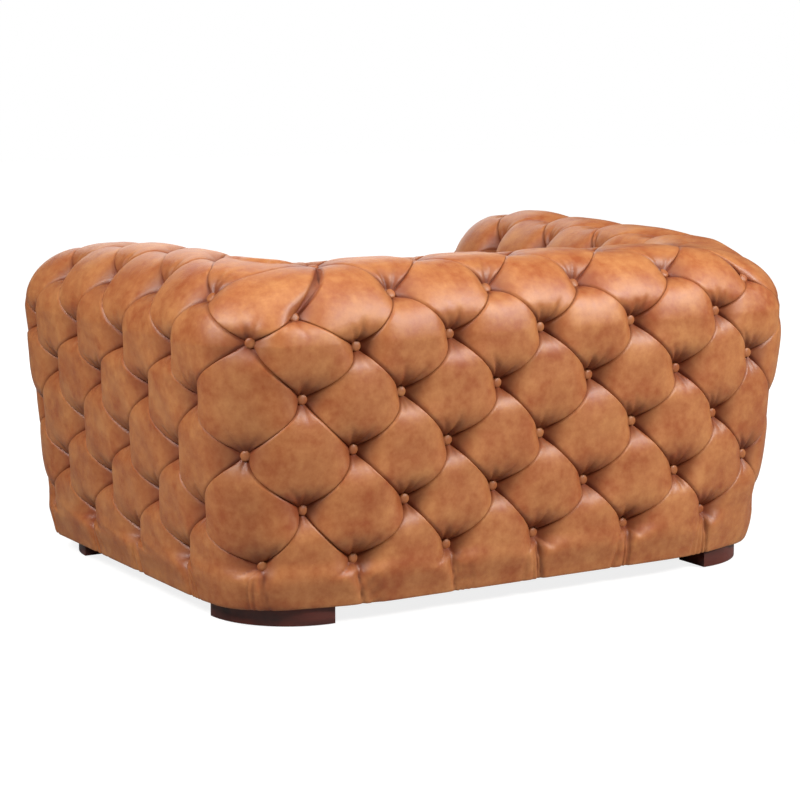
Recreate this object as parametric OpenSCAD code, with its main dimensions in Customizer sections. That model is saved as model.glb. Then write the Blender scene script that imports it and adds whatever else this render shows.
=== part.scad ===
// Deep-buttoned lounge chair: a U of rolled arms and back around a fixed seat, on four corner feet.
// Origin on the floor under the middle of the chair. The chair faces -Y, and the sitter's left is +X.

/* [Overall size] */
// Width over the fullest swells of the two arms
chair_width = 1440; // [1320:10:1600]
// Depth from the swells of the back to the swells of the arm fronts
chair_depth = 1090; // [1020:10:1240]
// Height of the crest's swells above the floor
chair_height = 707; // [670:1:760]
// Height of the seat's crown above the floor
seat_height = 440; // [420:5:460]
// Thickness of arms and back between the buttons of their two sides
wall_thick = 260; // [250:2:280]

/* [Tufting] */
// How far the leather swells past its buttons
swell = 30; // [18:1:34]
// Height of the lowest row of buttons above the floor
first_row_z = 132; // [110:1:140]
// How much further out the top row of buttons stands than the lowest one
lean = 18; // [0:1:24]
// How much more than that the arms and the rear corners lean in
side_lean = 26; // [0:1:26]
// Outside corner radius between the back's buttons and the arm's
corner_r = 125; // [100:5:150]
// Radius of the fillet between the inside back and the inside arm
inside_r = 60; // [50:2:70]
// How far the hem turns in under the lowest swell
hem_turn = 6; // [4:1:20]
// Distance of the first row of buttons on the arm from the back's button plane
side_start = 228; // [200:2:240]
// Radius of the seat's rounded front edge
seat_edge_r = 60; // [45:1:70]
// How far the arm fronts stand ahead of the seat's front
arm_lead = 30; // [20:1:40]
// Diameter of a covered button
button_d = 20; // [16:1:22]

/* [Padding] */
// Foam between the inside buttons and the frame
foam = 60; // [58:1:64]
// Foam between the outside buttons of the top row and the frame, more than the lean and turn of the arms' hem
foam_out = 84; // [84:1:90]
// Depth of the buttoned seat layer, from its buttons down
seat_layer = 65; // [60:1:70]
// Foam behind the buttons of the front border
border_foam = 40; // [30:1:46]
// Foam over the top rails, up to the crest's buttons
crest_foam = 68; // [60:1:80]
// Thickness of the foam block under the buttoned seat layer
block_foam = 42; // [30:1:50]
// Felt between the springs and the seat foam
felt_thick = 3; // [2:0.5:5]

/* [Feet] */
// Height of the feet, from the floor to the base frame
foot_height = 38; // [30:1:50]
// Radius of the rounded outside of a foot
foot_r = 180; // [150:5:200]
// Width of the square-cut ends of a foot
foot_end = 85; // [70:1:100]
// How far the feet stand in from the hem
foot_inset = 2; // [0:1:30]
// Diameter of the nylon glides
glide_d = 24; // [18:1:30]
// How far a glide stands out below its foot
glide_proud = 2; // [1:0.5:4]

/* [Timber] */
// Thickness of the base boards
base_thick = 30; // [24:1:36]
// Width of the front base board
base_front_w = 110; // [90:5:130]
// How far the side and rear base boards reach in past the seat box
base_ledge = 30; // [20:1:60]
// Thickness of the seat box's boards
board_thick = 25; // [18:1:30]
// Thickness of the posts in arms and back
post_thick = 45; // [35:1:50]
// Height of the top rails
rail_high = 32; // [25:1:40]
// Thickness of the panels on the frame
panel_thick = 5; // [3:0.5:8]

/* [Springs and webbing] */
// Number of serpentine springs
spring_count = 7; // [5:1:8]
// Wire diameter of the springs
spring_wire = 4; // [3:0.2:5]
// Width of a spring over its bends
spring_width = 52; // [40:1:60]
// Number of half waves in one spring
spring_waves = 26; // [20:2:30]
// Diameter of the tie wires
tie_wire = 3; // [2:0.2:4]
// Width of a webbing strap
strap_w = 50; // [40:1:60]
// Thickness of the webbing
strap_thick = 1.8; // [1.2:0.1:2.4]

/* [Fixings] */
// Diameter of the bolts between arms and back
bolt_d = 8; // [6:1:10]
// Diameter of the foot screws
screw_d = 6; // [4:0.5:7]
// Length of a foot screw's thread above the foot
screw_grip = 22; // [16:1:26]

/* [Hidden] */

leather = [0.66, 0.36, 0.19];
mahogany = [0.25, 0.09, 0.06];
timber = [0.80, 0.66, 0.46];
ply = [0.74, 0.60, 0.42];
steel = [0.62, 0.63, 0.65];

// Gap that keeps neighbouring pieces clear of each other
gap = 0.3;
$fn = 48;

// Rows of the section, counted in half rows from the hem (0) up to the crest
row_first = 2;
row_roll = 10;
row_crest = 14;
// Columns, counted in quarters of a button pitch from the middle of the back round to the arm front
col_last_straight = 8;
col_mitre = 12;
col_side = 16;
col_front = 28;
col_tip = 32;

roll_r = wall_thick / 2;
crest_swell_share = 0.73;
half_w = chair_width / 2 - swell;
half_d = chair_depth / 2 - swell;
roll_z = chair_height - swell * crest_swell_share - roll_r;
hem_z = foot_height + gap;
row_step = (roll_z - first_row_z) / (row_roll - row_first);
// Angles round the roll of the half rows above row_roll
roll_angles = [0, 19, 39, 64, 90];
// The arm's rounded front swells most two half rows below the roll, where the wall leans in a little
tip_inset = lean * 2 / (row_roll - row_first);
front_y = roll_r - half_d - tip_inset + gap;
side_y = half_d - side_start;
// How close the last straight column of the inside comes to the corner
inside_fill = 0.95;

base_top = foot_height + base_thick;
leg_z = base_top + gap;

// Hollow of the upholstery, which holds the frame
hollow_out_x = half_w - foam_out;
hollow_in_x = half_w - wall_thick + foam;
hollow_out_y = half_d - foam_out;
hollow_in_y = half_d - wall_thick + foam;
hollow_top = roll_z + roll_r - crest_foam;

// Seat: outlines and the stack of layers, from the crown down
seat_x = half_w - wall_thick - gap;
seat_rear_y = half_d - wall_thick - gap;
seat_front_y = arm_lead - half_d;
seat_button_z = seat_height - swell;
seat_layer_z = seat_button_z - seat_layer;
border_top = seat_layer_z - gap;
block_top = seat_layer_z - gap;
felt_top = block_top - block_foam - gap;
tie_z = felt_top - felt_thick - gap - tie_wire / 2;
spring_z = tie_z - tie_wire / 2 - gap - spring_wire / 2;
clip_high = 8;
clip_w = 18;
box_top = spring_z - clip_high / 2;
box_x = seat_x - gap;
box_rear_y = seat_rear_y - gap;
box_front_y = seat_front_y + border_foam + gap;
seat_columns = 8;
seat_rows = 14;
seat_row_step = (seat_rear_y - seat_front_y - seat_edge_r) / (seat_rows - 2);
border_rows = 6;
// How far the seat's front corners spread along the rounded arm fronts
corner_clear = 8;
seat_front_x = half_w - roll_r - sqrt(pow(roll_r, 2) - pow(front_y - seat_front_y, 2)) - corner_clear;

// Faces of the timber frame inside the upholstery
frame_out_x = hollow_out_x - gap;
frame_in_x = hollow_in_x + gap;
frame_rear_y = hollow_out_y - gap;
frame_joint_y = hollow_in_y + gap;
frame_front_y = front_y + gap;
frame_top = hollow_top - gap;
rail_z = frame_top - rail_high;
base_in_x = box_x - board_thick - base_ledge;
base_in_y = box_rear_y - board_thick - base_ledge;
back_post_x = frame_out_x - panel_thick - post_thick;
back_rail_y = frame_joint_y + strap_thick;
back_face_y = frame_rear_y - panel_thick;

// Feet: centre of the rounded outside, and places of glides and screws round it
foot_cx = half_w - lean - side_lean - hem_turn - foot_inset - foot_r;
foot_cy = half_d - lean - hem_turn - foot_inset - foot_r;
foot_cut = foot_r - foot_end;
glide_in = 30;
screw_in = 65;
glide_ring = foot_r - glide_in;
glide_turns = [12, 78];
glide_pin_d = 5;
glide_pin = 14;
screw_ring = foot_r - screw_in;
screw_turns = [15, 42];
screw_head_d = 2 * screw_d;
screw_head = 4;
screw_sink = 8;
bore_clear = 0.1;

// Bolts between arm and back, each drawn into a barrel nut in the back's end post
bolt_x = back_post_x + post_thick / 2;
bolt_heights = [200, 450];
bolt_reach = 52;
bolt_head_d = 1.7 * bolt_d;
bolt_head = 5.5;
washer_d = 3 * bolt_d;
washer_t = 1.6;
nut_d = 1.8 * bolt_d;
nut_len = 30;
nut_set_y = 40;

function lerp(a, b, t) = a + (b - a) * t;

// Corner radius of the outline that lies d inside the outer buttons
function plan_r(d) = max(inside_r, corner_r - d / 2);
// Length of an outline with corner radius r, from the middle of the back to the mitre
function half_len(d, r) = half_w - d - r + r * PI / 4;
column_step = half_len(0, plan_r(0)) / col_mitre;

// Distance of column i from the middle of the back, along the outline at d
function along_back(i, d, r) =
    let (
        length = half_len(d, r),
        fit = min(column_step, length * inside_fill / col_last_straight),
        share = (i - col_last_straight) / (col_mitre - col_last_straight)
    )
    i <= col_last_straight ? i * fit : lerp(col_last_straight * fit, length, share);

// Plan points [x, y, outward x, outward y] on the back, the arm's side and the arm's rounded front
function back_plan(i, d, r) =
    let (
        along = along_back(abs(i), d, r),
        arc_x = half_w - d - r,
        turn = max(0, along - arc_x) / r * 180 / PI,
        x = min(along, arc_x) + r * sin(turn)
    )
    [sign(i) * x, half_d - d - r + r * cos(turn), sign(i) * sin(turn), cos(turn)];
// The first side column stays at least this far past the end of the corner's arc
past_arc = 5;
function side_plan(i, d, r) =
    let (
        arc_end_y = half_d - d - r,
        start_y = min(side_y, arc_end_y - past_arc),
        arc = r * PI / 4,
        s = (arc + arc_end_y - start_y) * (i - col_mitre) / (col_side - col_mitre),
        turn = 45 + s / r * 180 / PI
    )
    i >= col_side
        ? [half_w - d, lerp(start_y, front_y, (i - col_side) / (col_front - col_side)), 1, 0]
    : s < arc
        ? [half_w - d - r + r * sin(turn), arc_end_y + r * cos(turn), sin(turn), cos(turn)]
        : [half_w - d, arc_end_y - s + arc, 1, 0];
function front_plan(i, d) =
    let (
        turn = 90 * (i - col_front) / (col_tip - col_front),
        reach = roll_r - d,
        y = front_y - abs(reach) * sin(turn)
    )
    [half_w - roll_r + reach * cos(turn), y, sign(reach) * cos(turn), -sin(turn)];
function plan(i, d, r) =
    i <= col_mitre ? back_plan(i, d, r) : i <= col_front ? side_plan(i, d, r) : front_plan(i, d);

// Share of the full swell at column i and half row j: none at a button, little on a crease
crease_share = 0.24;
between_share = 0.74;
function tuft(i, j) =
    j == 0 ? 0
    : j == 1 ? (abs(i) % 4 == 0 ? 0.2 : 0.6)
    : abs(i) == col_mitre && j == row_crest ? 1
    : abs(i) % 2 == 0 && j % 2 == 0 ? ((abs(i) + j + 2) % 4 == 0 ? 0 : 1)
    : abs(i) % 2 == 1 && j % 2 == 1 ? crease_share
    : between_share;

// Damping of the swell: outside at the corner, inside at the corner and below the seat
corner_ease = 0.45;
function outside_ease(i, j) =
    (1 - corner_ease * max(0, 1 - abs(abs(i) - col_mitre) / 4)) * (j > row_roll + 2 ? crest_swell_share : 1);
function inside_ease(i, j) =
    j == row_crest ? crest_swell_share
    : j > row_roll + 2 ? crest_swell_share * (abs(i) >= col_last_straight && i <= col_side ? 0.5 : 1)
    : abs(i) >= col_last_straight && i <= col_side ? 0
    : j <= row_seat && i <= col_front + 2 ? 0
    : 1;

// Section: height, inset and angle of half row j, over a lower edge at z0
function row_angle(j) = j <= row_roll ? 0 : roll_angles[j - row_roll];
function row_z(j, z0) =
    j == 0 ? z0
    : j == 1 ? (z0 + first_row_z) / 2
    : j <= row_roll ? first_row_z + (j - row_first) * row_step
    : roll_z + roll_r * sin(row_angle(j));
// The arms lean in more than the back. Their lean sets in towards the corner, and fades out at the front tip
col_lean = 6;
function column_lean(i) =
    let (rise = min(1, max(0, (abs(i) - col_lean) / (col_mitre - 1 - col_lean))))
    lean + side_lean * rise * rise * (3 - 2 * rise) * min(1, (col_tip - abs(i)) / 2);
// The wall leans in by a share of its full lean, and the hem turns in by the same share
function row_inset(i, j, share) =
    j > row_roll ? roll_r * (1 - cos(row_angle(j)))
    : share * (column_lean(i) * (row_roll - max(j, row_first)) / (row_roll - row_first) + (j == 0 ? hem_turn : 0));
// The inside corner is square where it meets the seat box, and has its fillet above the seat
row_seat = 8;
square_r = 2;
function row_plan(i, j, inset, inside) =
    let (d = inside ? wall_thick - inset : inset)
    plan(i, d, inside && j <= row_seat ? square_r : plan_r(d));

// Point on the leather, and the way it faces
function skin(i, j, inside) =
    let (
        share = !inside ? 1 : i <= col_front ? 0 : (i - col_front) / (col_tip - col_front),
        p = row_plan(i, j, row_inset(i, j, share), inside),
        flip = inside && i <= col_front ? -1 : 1,
        a = row_angle(j),
        out = swell * tuft(i, j) * (inside ? inside_ease(i, j) : outside_ease(i, j)),
        z0 = inside && i <= col_front ? leg_z : hem_z
    )
    [p[0] + flip * p[2] * cos(a) * out, p[1] + flip * p[3] * cos(a) * out, row_z(j, z0) + sin(a) * out];
function skin_way(i, j, inside) =
    let (
        p = row_plan(i, j, row_inset(i, j, 0), inside),
        flip = inside && i <= col_front ? -1 : 1,
        a = row_angle(j)
    )
    [flip * p[2] * cos(a), flip * p[3] * cos(a), sin(a)];

// One cell of a tufted grid as two triangles, split so that the creases run from button to button
function cell(i, j, a, b, c, d) = (i + j) % 2 == 0 ? [[a, b, c], [a, c, d]] : [[a, b, d], [b, c, d]];
function whole(faces) = [for (f = faces) if (f[0] != f[1] && f[1] != f[2] && f[0] != f[2]) f];
// Triangles between a line of points and an edge from a to b: to a up to the point at mid, then to b
function web(line, a, b, mid) =
    concat(
        [for (k = [0:1:mid - 1]) [line[k], line[k + 1], a]],
        [[line[mid], b, a]],
        [for (k = [mid:1:len(line) - 2]) [line[k], line[k + 1], b]]
    );
function flat(lists) = [for (l = lists) for (e = l) e];

// Upholstery between columns i0 and i1: both skins, the hollow for the frame, and the cut ends
rows = row_crest + 1;
module upholstery(i0, i1) {
    count = i1 - i0 + 1;
    round_front = i1 > col_front;
    side_points = [
        for (inside = [0, 1]) for (i = [i0:i1]) for (j = [0:row_crest]) skin(i, j, inside == 1)
    ];
    function id(inside, i, j) =
        let (ridge = j == row_crest, tip = i == col_tip)
        (ridge || tip ? 0 : inside * count * rows) + ((ridge ? min(i, col_front) : i) - i0) * rows + j;
    // The hollow's corners at both ends: outer foot, outer top, inner top, inner foot
    from = i0 < col_mitre ? -1 : 1;
    ends = [
        [from * hollow_out_x, hollow_out_y, from * hollow_in_x, hollow_in_y],
        [hollow_out_x, round_front ? front_y : hollow_out_y, hollow_in_x, round_front ? front_y : hollow_in_y]
    ];
    hollow = [
        for (e = ends) for (p = [[e[0], e[1], hem_z], [e[0], e[1], hollow_top], [e[2], e[3], hollow_top],
            [e[2], e[3], leg_z]]) p
    ];
    h = len(side_points);
    last_in = round_front ? col_front : i1;
    inside_cells = flat([
        for (i = [i0:i1 - 1]) for (j = [0:row_crest - 1])
            cell(i, j, id(1, i, j), id(1, i, j + 1), id(1, i + 1, j + 1), id(1, i + 1, j))
    ]);
    outside_cells = flat([
        for (i = [i0:i1 - 1]) for (j = [0:row_crest - 1])
            cell(i, j, id(0, i, j), id(0, i + 1, j), id(0, i + 1, j + 1), id(0, i, j + 1))
    ]);
    ridge0 = id(0, i0, row_crest);
    first_cap = concat(
        web([for (j = [0:row_crest]) id(0, i0, j)], h, h + 1, row_roll),
        web([for (j = [row_crest:-1:0]) id(1, i0, j)], h + 2, h + 3, row_crest - row_roll),
        [[ridge0, h + 2, h + 1]]
    );
    ridge1 = id(0, i1, row_crest);
    last_cap = concat(
        web([for (j = [row_crest:-1:0]) id(0, i1, j)], h + 5, h + 4, row_crest - row_roll),
        web([for (j = [0:row_crest]) id(1, i1, j)], h + 7, h + 6, row_roll),
        [[ridge1, h + 5, h + 6]]
    );
    walls = [
        for (k = [0:2]) for (t = [[h + k, h + k + 1, h + k + 5], [h + k, h + k + 5, h + k + 4]]) t
    ];
    inside_foot = web([for (i = [i0:last_in]) id(1, i, 0)], h + 3, h + 7, floor((last_in - i0) / 2));
    outside_foot = web(
        concat(
            round_front ? [for (i = [col_front + 1:i1 - 1]) id(1, i, 0)] : [],
            [for (i = [i1:-1:i0]) id(0, i, 0)]
        ),
        h + 4, h, floor((i1 - i0) / 2) + (round_front ? i1 - col_front - 1 : 0)
    );
    front_faces = [
        [h + 4, h + 5, h + 6],
        [h + 4, h + 6, h + 7],
        [id(1, col_front + 1, 0), h + 4, h + 7],
        [id(1, col_front + 1, 0), h + 7, id(1, col_front, 0)]
    ];
    polyhedron(
        concat(side_points, hollow),
        concat(
            whole(outside_cells), whole(inside_cells), first_cap, round_front ? front_faces : last_cap,
            walls, inside_foot, outside_foot
        ),
        convexity = 8
    );
}

// A leather-covered button on its shank, in the tuft at column i and half row j
module button(place, way) {
    shank_r = 1.5;
    shank = 4.8;
    rim = 1.6;
    dome = 3;
    crown = 1;
    edge = 0.8;
    translate(place)
        rotate([0, acos(way[2]), atan2(way[1], way[0])])
            rotate_extrude()
                polygon([
                    [0, gap],
                    [shank_r, gap],
                    [shank_r, shank],
                    [button_d / 2 - edge, shank],
                    [button_d / 2, shank + rim],
                    [button_d * 0.36, shank + dome],
                    [button_d * 0.15, shank + dome + crown],
                    [0, shank + dome + crown]
                ]);
}
function has_button(i, j) = abs(i) % 2 == 0 && j % 2 == 0 && (abs(i) + j + 2) % 4 == 0;
module buttons(i0, i1) {
    for (i = [i0:i1]) {
        for (j = [row_first:row_crest]) {
            if (has_button(i, j) && (j < row_crest || (abs(i) != col_mitre && i <= col_front)))
                button(skin(i, j, false), skin_way(i, j, false));
            if (has_button(i, j) && inside_ease(i, j) > 0 && j < row_crest && i < col_tip)
                button(skin(i, j, true), skin_way(i, j, true));
        }
    }
}

// Share of the swell on the seat, at column i and half row j from the front seam
function seat_tuft(i, j) =
    j == 0 ? 0.15
    : abs(i) == seat_columns || j == seat_rows ? 0.1
    : j == 1 ? (abs(i) % 4 == 2 ? 0.3 : 0.8)
    : abs(i) % 2 == 0 && j % 2 == 0 ? ((abs(i) + j) % 4 == 0 ? 0 : 1)
    : abs(i) % 2 == 1 && j % 2 == 1 ? crease_share
    : between_share;
function seat_x_at(i, j) = i / seat_columns * (j > 1 ? seat_x : lerp(seat_front_x, seat_x, j / 2));
function seat_skin(i, j) =
    let (turn = 45 * min(j, 2), out = swell * seat_tuft(i, j), r = seat_edge_r)
    j == 0
        ? [seat_x_at(i, j), seat_front_y - out, seat_layer_z]
        : [
            seat_x_at(i, j),
            seat_front_y + r - (r + out) * cos(turn) + max(0, j - 2) * seat_row_step,
            seat_button_z - r + (r + out) * sin(turn)
        ];

// Fixed seat: one deep-buttoned layer with a rounded front edge
module seat_upholstery() {
    n = seat_columns;
    top = [for (i = [-n:n]) for (j = [0:seat_rows]) seat_skin(i, j)];
    foot = [
        for (s = [-n, n]) for (j = [1:seat_rows]) let (p = seat_skin(s, j)) [p[0], p[1], seat_layer_z]
    ];
    function id(i, j) = (i + n) * (seat_rows + 1) + j;
    function low(s, j) = j == 0 ? id(s * n, 0) : len(top) + (s > 0 ? seat_rows : 0) + j - 1;
    cells = flat([
        for (i = [-n:n - 1]) for (j = [0:seat_rows - 1])
            cell(i, j, id(i, j), id(i, j + 1), id(i + 1, j + 1), id(i + 1, j))
    ]);
    sides = flat([
        for (j = [0:seat_rows - 1]) [
            [low(1, j), id(n, j), id(n, j + 1)],
            [low(1, j), id(n, j + 1), low(1, j + 1)],
            [low(-1, j), id(-n, j + 1), id(-n, j)],
            [low(-1, j), low(-1, j + 1), id(-n, j + 1)]
        ]
    ]);
    rear = web([for (i = [n:-1:-n]) id(i, seat_rows)], low(1, seat_rows), low(-1, seat_rows), n);
    rim = concat([for (j = [1:seat_rows]) low(1, j)], [for (j = [seat_rows:-1:1]) low(-1, j)]);
    under = concat(
        [for (i = [0:n - 1]) [id(i, 0), id(i + 1, 0), low(1, 1)]],
        [for (i = [-n:-1]) [id(i, 0), id(i + 1, 0), low(-1, 1)]],
        [for (k = [0:len(rim) - 2]) [id(0, 0), rim[k], rim[k + 1]]]
    );
    color(leather)
        polyhedron(concat(top, foot), concat(cells, whole(sides), rear, under), convexity = 6);
}
module seat_buttons() {
    color(leather)
        for (i = [2 - seat_columns:2:seat_columns - 2])
            for (j = [2:2:seat_rows - 2])
                if ((abs(i) + j) % 4 == 0)
                    button(seat_skin(i, j), [0, 0, 1]);
}

// Front border between the arms, under the seat's front edge
function border_z(j) =
    j == 0 ? hem_z
    : j == 1 ? (hem_z + first_row_z) / 2
    : j == border_rows ? border_top
    : first_row_z + (j - row_first) * row_step;
function border_skin(i, j) =
    let (out = swell * (abs(i) == seat_columns || j == 0 ? 0 : j == border_rows ? 0.15 : tuft(i, j)))
    [i / seat_columns * seat_front_x, seat_front_y - out + (j == 0 ? hem_turn : 0), border_z(j)];
module front_border() {
    n = seat_columns;
    face = [for (i = [-n:n]) for (j = [0:border_rows]) border_skin(i, j)];
    rear_y = seat_front_y + border_foam;
    function id(i, j) = (i + n) * (border_rows + 1) + j;
    f = len(face);
    rear = [
        [-seat_x, rear_y, hem_z],
        [seat_x, rear_y, hem_z],
        [seat_x, rear_y, border_top],
        [-seat_x, rear_y, border_top]
    ];
    cells = flat([
        for (i = [-n:n - 1]) for (j = [0:border_rows - 1])
            cell(i, j, id(i, j), id(i, j + 1), id(i + 1, j + 1), id(i + 1, j))
    ]);
    ends = flat([
        for (j = [0:border_rows - 1]) [[f + 1, id(n, j), id(n, j + 1)], [f, id(-n, j + 1), id(-n, j)]]
    ]);
    caps = concat(
        [[f + 1, id(n, border_rows), f + 2], [f, f + 3, id(-n, border_rows)]],
        [[f, f + 1, f + 2], [f, f + 2, f + 3]],
        web([for (i = [n:-1:-n]) id(i, border_rows)], f + 2, f + 3, n),
        web([for (i = [-n:n]) id(i, 0)], f, f + 1, n)
    );
    color(leather) polyhedron(concat(face, rear), concat(cells, ends, caps), convexity = 4);
}
module front_border_buttons() {
    color(leather)
        for (i = [2 - seat_columns:2:seat_columns - 2])
            for (j = [row_first:2:border_rows - 2])
                if (has_button(i, j))
                    button(border_skin(i, j), [0, -1, 0]);
}

// The arm pads stop just short of the back's mitred ends
module left_arm_upholstery() {
    color(leather) translate([0, -gap, 0]) upholstery(col_mitre, col_tip);
}
module right_arm_upholstery() {
    mirror([1, 0, 0]) left_arm_upholstery();
}
module back_upholstery() {
    color(leather) upholstery(-col_mitre, col_mitre);
}
module back_buttons() {
    color(leather) buttons(-col_mitre, col_mitre);
}
module left_arm_buttons() {
    color(leather) translate([0, -gap, 0]) buttons(col_mitre + 1, col_tip);
}
module right_arm_buttons() {
    mirror([1, 0, 0]) left_arm_buttons();
}

// A box between two corners
module block(low, high) {
    translate(low) cube(high - low);
}
module at_turns(radius, turns) {
    for (a = turns)
        translate([foot_cx + radius * cos(a), foot_cy + radius * sin(a), 0]) children();
}

// Corner foot: rounded outside, two square-cut ends and a straight inner cut
module foot() {
    far = foot_r + 1;
    color(mahogany)
        difference() {
            translate([foot_cx, foot_cy, glide_proud])
                linear_extrude(foot_height - glide_proud)
                    intersection() {
                        circle(foot_r, $fn = 96);
                        polygon([[foot_cut, 0], [far, 0], [far, far], [0, far], [0, foot_cut]]);
                    }
            at_turns(glide_ring, glide_turns)
                cylinder(h = glide_proud + glide_pin + gap, d = glide_pin_d + 2 * bore_clear);
            at_turns(screw_ring, screw_turns) {
                cylinder(h = foot_height + 1, d = screw_d + 2 * bore_clear);
                cylinder(h = screw_sink + screw_head, d = screw_head_d + 1);
            }
        }
}
// A shape of the rear left corner, repeated at all four
module each_corner() {
    for (sx = [0, 1])
        for (sy = [0, 1])
            mirror([sx, 0, 0]) mirror([0, sy, 0]) children();
}
module foot_rear_left() {
    foot();
}
module foot_rear_right() {
    mirror([1, 0, 0]) foot();
}
module foot_front_left() {
    mirror([0, 1, 0]) foot();
}
module foot_front_right() {
    mirror([1, 0, 0]) mirror([0, 1, 0]) foot();
}
module foot_glides() {
    color([0.85, 0.84, 0.80])
        each_corner()
            at_turns(glide_ring, glide_turns) {
                cylinder(h = glide_proud, d = glide_d);
                cylinder(h = glide_proud + glide_pin, d = glide_pin_d);
            }
}
module foot_screws() {
    color(steel)
        each_corner()
            at_turns(screw_ring, screw_turns) {
                translate([0, 0, screw_sink]) {
                    cylinder(h = screw_head, d = screw_head_d);
                    cylinder(h = foot_height + screw_grip - screw_sink, d = screw_d);
                }
            }
}
module screw_holes() {
    each_corner()
        at_turns(screw_ring, screw_turns)
            translate([0, 0, foot_height - 1])
                cylinder(h = screw_grip + 1 + gap, d = screw_d + 2 * bore_clear);
}

// Base frame: four boards on the feet, butted at the corners
module base_board_left() {
    color(timber)
        difference() {
            block([base_in_x, frame_front_y, foot_height], [frame_out_x, frame_rear_y, base_top]);
            screw_holes();
        }
}
module base_board_right() {
    mirror([1, 0, 0]) base_board_left();
}
module base_board_rear() {
    color(timber)
        block([-base_in_x, base_in_y, foot_height], [base_in_x, frame_rear_y, base_top]);
}
module base_board_front() {
    color(timber)
        block([-base_in_x, box_front_y, foot_height], [base_in_x, box_front_y + base_front_w, base_top]);
}

// Seat box: four boards on edge, a brace and corner blocks
module seat_board_front() {
    color(ply)
        block([-box_x, box_front_y, base_top], [box_x, box_front_y + board_thick, box_top]);
}
module seat_board_rear() {
    color(ply)
        block([-box_x, box_rear_y - board_thick, base_top], [box_x, box_rear_y, box_top]);
}
module seat_board_left() {
    color(ply)
        block(
            [box_x - board_thick, box_front_y + board_thick, base_top],
            [box_x, box_rear_y - board_thick, box_top]
        );
}
module seat_board_right() {
    mirror([1, 0, 0]) seat_board_left();
}
module seat_brace() {
    sag_room = 60;
    color(ply)
        block(
            [-board_thick / 2, box_front_y + board_thick, base_top],
            [board_thick / 2, box_rear_y - board_thick, box_top - sag_room]
        );
}
module corner_block(turn) {
    block_w = 55;
    block_high = 120;
    translate([0, 0, base_top])
        linear_extrude(block_high)
            polygon([[0, 0], [turn[0] * block_w, 0], [0, turn[1] * block_w]]);
}
module corner_blocks() {
    color(timber)
        for (sx = [-1, 1])
            for (e = [[box_front_y + board_thick, 1], [box_rear_y - board_thick, -1]])
                translate([sx * (box_x - board_thick), e[0], 0]) corner_block([-sx, e[1]]);
}

// Dust cover under the base, cut round the feet, and its staples
cover_t = 0.8;
cover_in = 12;
module dust_cover() {
    color([0.12, 0.12, 0.13])
        difference() {
            block(
                [cover_in - frame_out_x, box_front_y + cover_in, foot_height - cover_t],
                [frame_out_x - cover_in, frame_rear_y - cover_in, foot_height]
            );
            each_corner()
                block(
                    [foot_cx - cover_in, foot_cy - cover_in, foot_height - 2 * cover_t],
                    [frame_out_x, frame_rear_y + foot_r, foot_height + cover_t]
                );
        }
}
module dust_cover_staples() {
    staple = [12, 1.4, 0.8];
    staple_pitch = 90;
    count = floor((foot_cx - 2 * cover_in) / staple_pitch);
    rear_y = frame_rear_y - 2 * cover_in;
    ahead_y = box_front_y + 2 * cover_in;
    color(steel)
        for (k = [-count:count])
            for (y = [rear_y, ahead_y])
                translate([k * staple_pitch - staple[0] / 2, y, foot_height - cover_t - staple[2]])
                    cube(staple);
}

// Serpentine springs from the front board to the rear board
spring_in = 9;
spring_start_y = box_front_y + board_thick / 2 - spring_in;
spring_end_y = box_rear_y - board_thick / 2 + spring_in;
spring_lead = 34;
spring_margin = 20;
spring_sides = 5;
spring_pitch = 2 * (box_x - board_thick - spring_margin) / spring_count;
module seat_spring() {
    reach = (spring_width - spring_wire) / 2;
    wave = (spring_end_y - spring_start_y - 2 * spring_lead) / spring_waves;
    route = concat(
        [[0, spring_start_y], [0, spring_start_y + spring_lead - wave / 2]],
        flat([
            for (k = [0:spring_waves - 1])
                let (s = k % 2 == 0 ? 1 : -1, y = spring_start_y + spring_lead + k * wave)
                [[s * reach, y + 0.2 * wave], [s * reach, y + 0.8 * wave]]
        ]),
        [[0, spring_end_y - spring_lead + wave / 2], [0, spring_end_y]]
    );
    last = len(route) - 1;
    points = [
        for (k = [0:last])
            let (
                along = route[min(k + 1, last)] - route[max(k - 1, 0)],
                across = [along[1], -along[0]] / norm(along)
            )
            for (a = [0:spring_sides - 1])
                let (turn = (a + 0.5) * 360 / spring_sides)
                [
                    route[k][0] + across[0] * cos(turn) * spring_wire / 2,
                    route[k][1] + across[1] * cos(turn) * spring_wire / 2,
                    spring_z + sin(turn) * spring_wire / 2
                ]
    ];
    n = spring_sides;
    walls = flat([
        for (k = [0:last - 1]) for (a = [0:n - 1])
            let (b = (a + 1) % n)
            [
                [k * n + a, k * n + b, (k + 1) * n + b],
                [k * n + a, (k + 1) * n + b, (k + 1) * n + a]
            ]
    ]);
    polyhedron(
        points,
        concat(walls, [[for (a = [n - 1:-1:0]) a], [for (a = [0:n - 1]) last * n + a]]),
        convexity = 10
    );
}
module each_spring() {
    for (k = [0:spring_count - 1])
        translate([(k - (spring_count - 1) / 2) * spring_pitch, 0, 0]) children();
}
module seat_springs() {
    color(steel) each_spring() seat_spring();
}
module spring_clips() {
    clip_long = 22;
    color(steel)
        each_spring()
            for (y = [box_front_y + board_thick / 2, box_rear_y - board_thick / 2])
                difference() {
                    block(
                        [-clip_w / 2, y - clip_long / 2, box_top],
                        [clip_w / 2, y + clip_long / 2, box_top + clip_high]
                    );
                    translate([0, y - clip_long, spring_z])
                        rotate([-90, 0, 0]) cylinder(h = 2 * clip_long, d = spring_wire + 2 * bore_clear);
                }
}
module spring_ties() {
    tie_count = 3;
    tie_end = 30;
    color(steel)
        for (k = [1:tie_count])
            translate([tie_end - box_x, lerp(spring_start_y, spring_end_y, k / (tie_count + 1)), tie_z])
                rotate([0, 90, 0]) cylinder(h = 2 * (box_x - tie_end), d = tie_wire);
}
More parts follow.
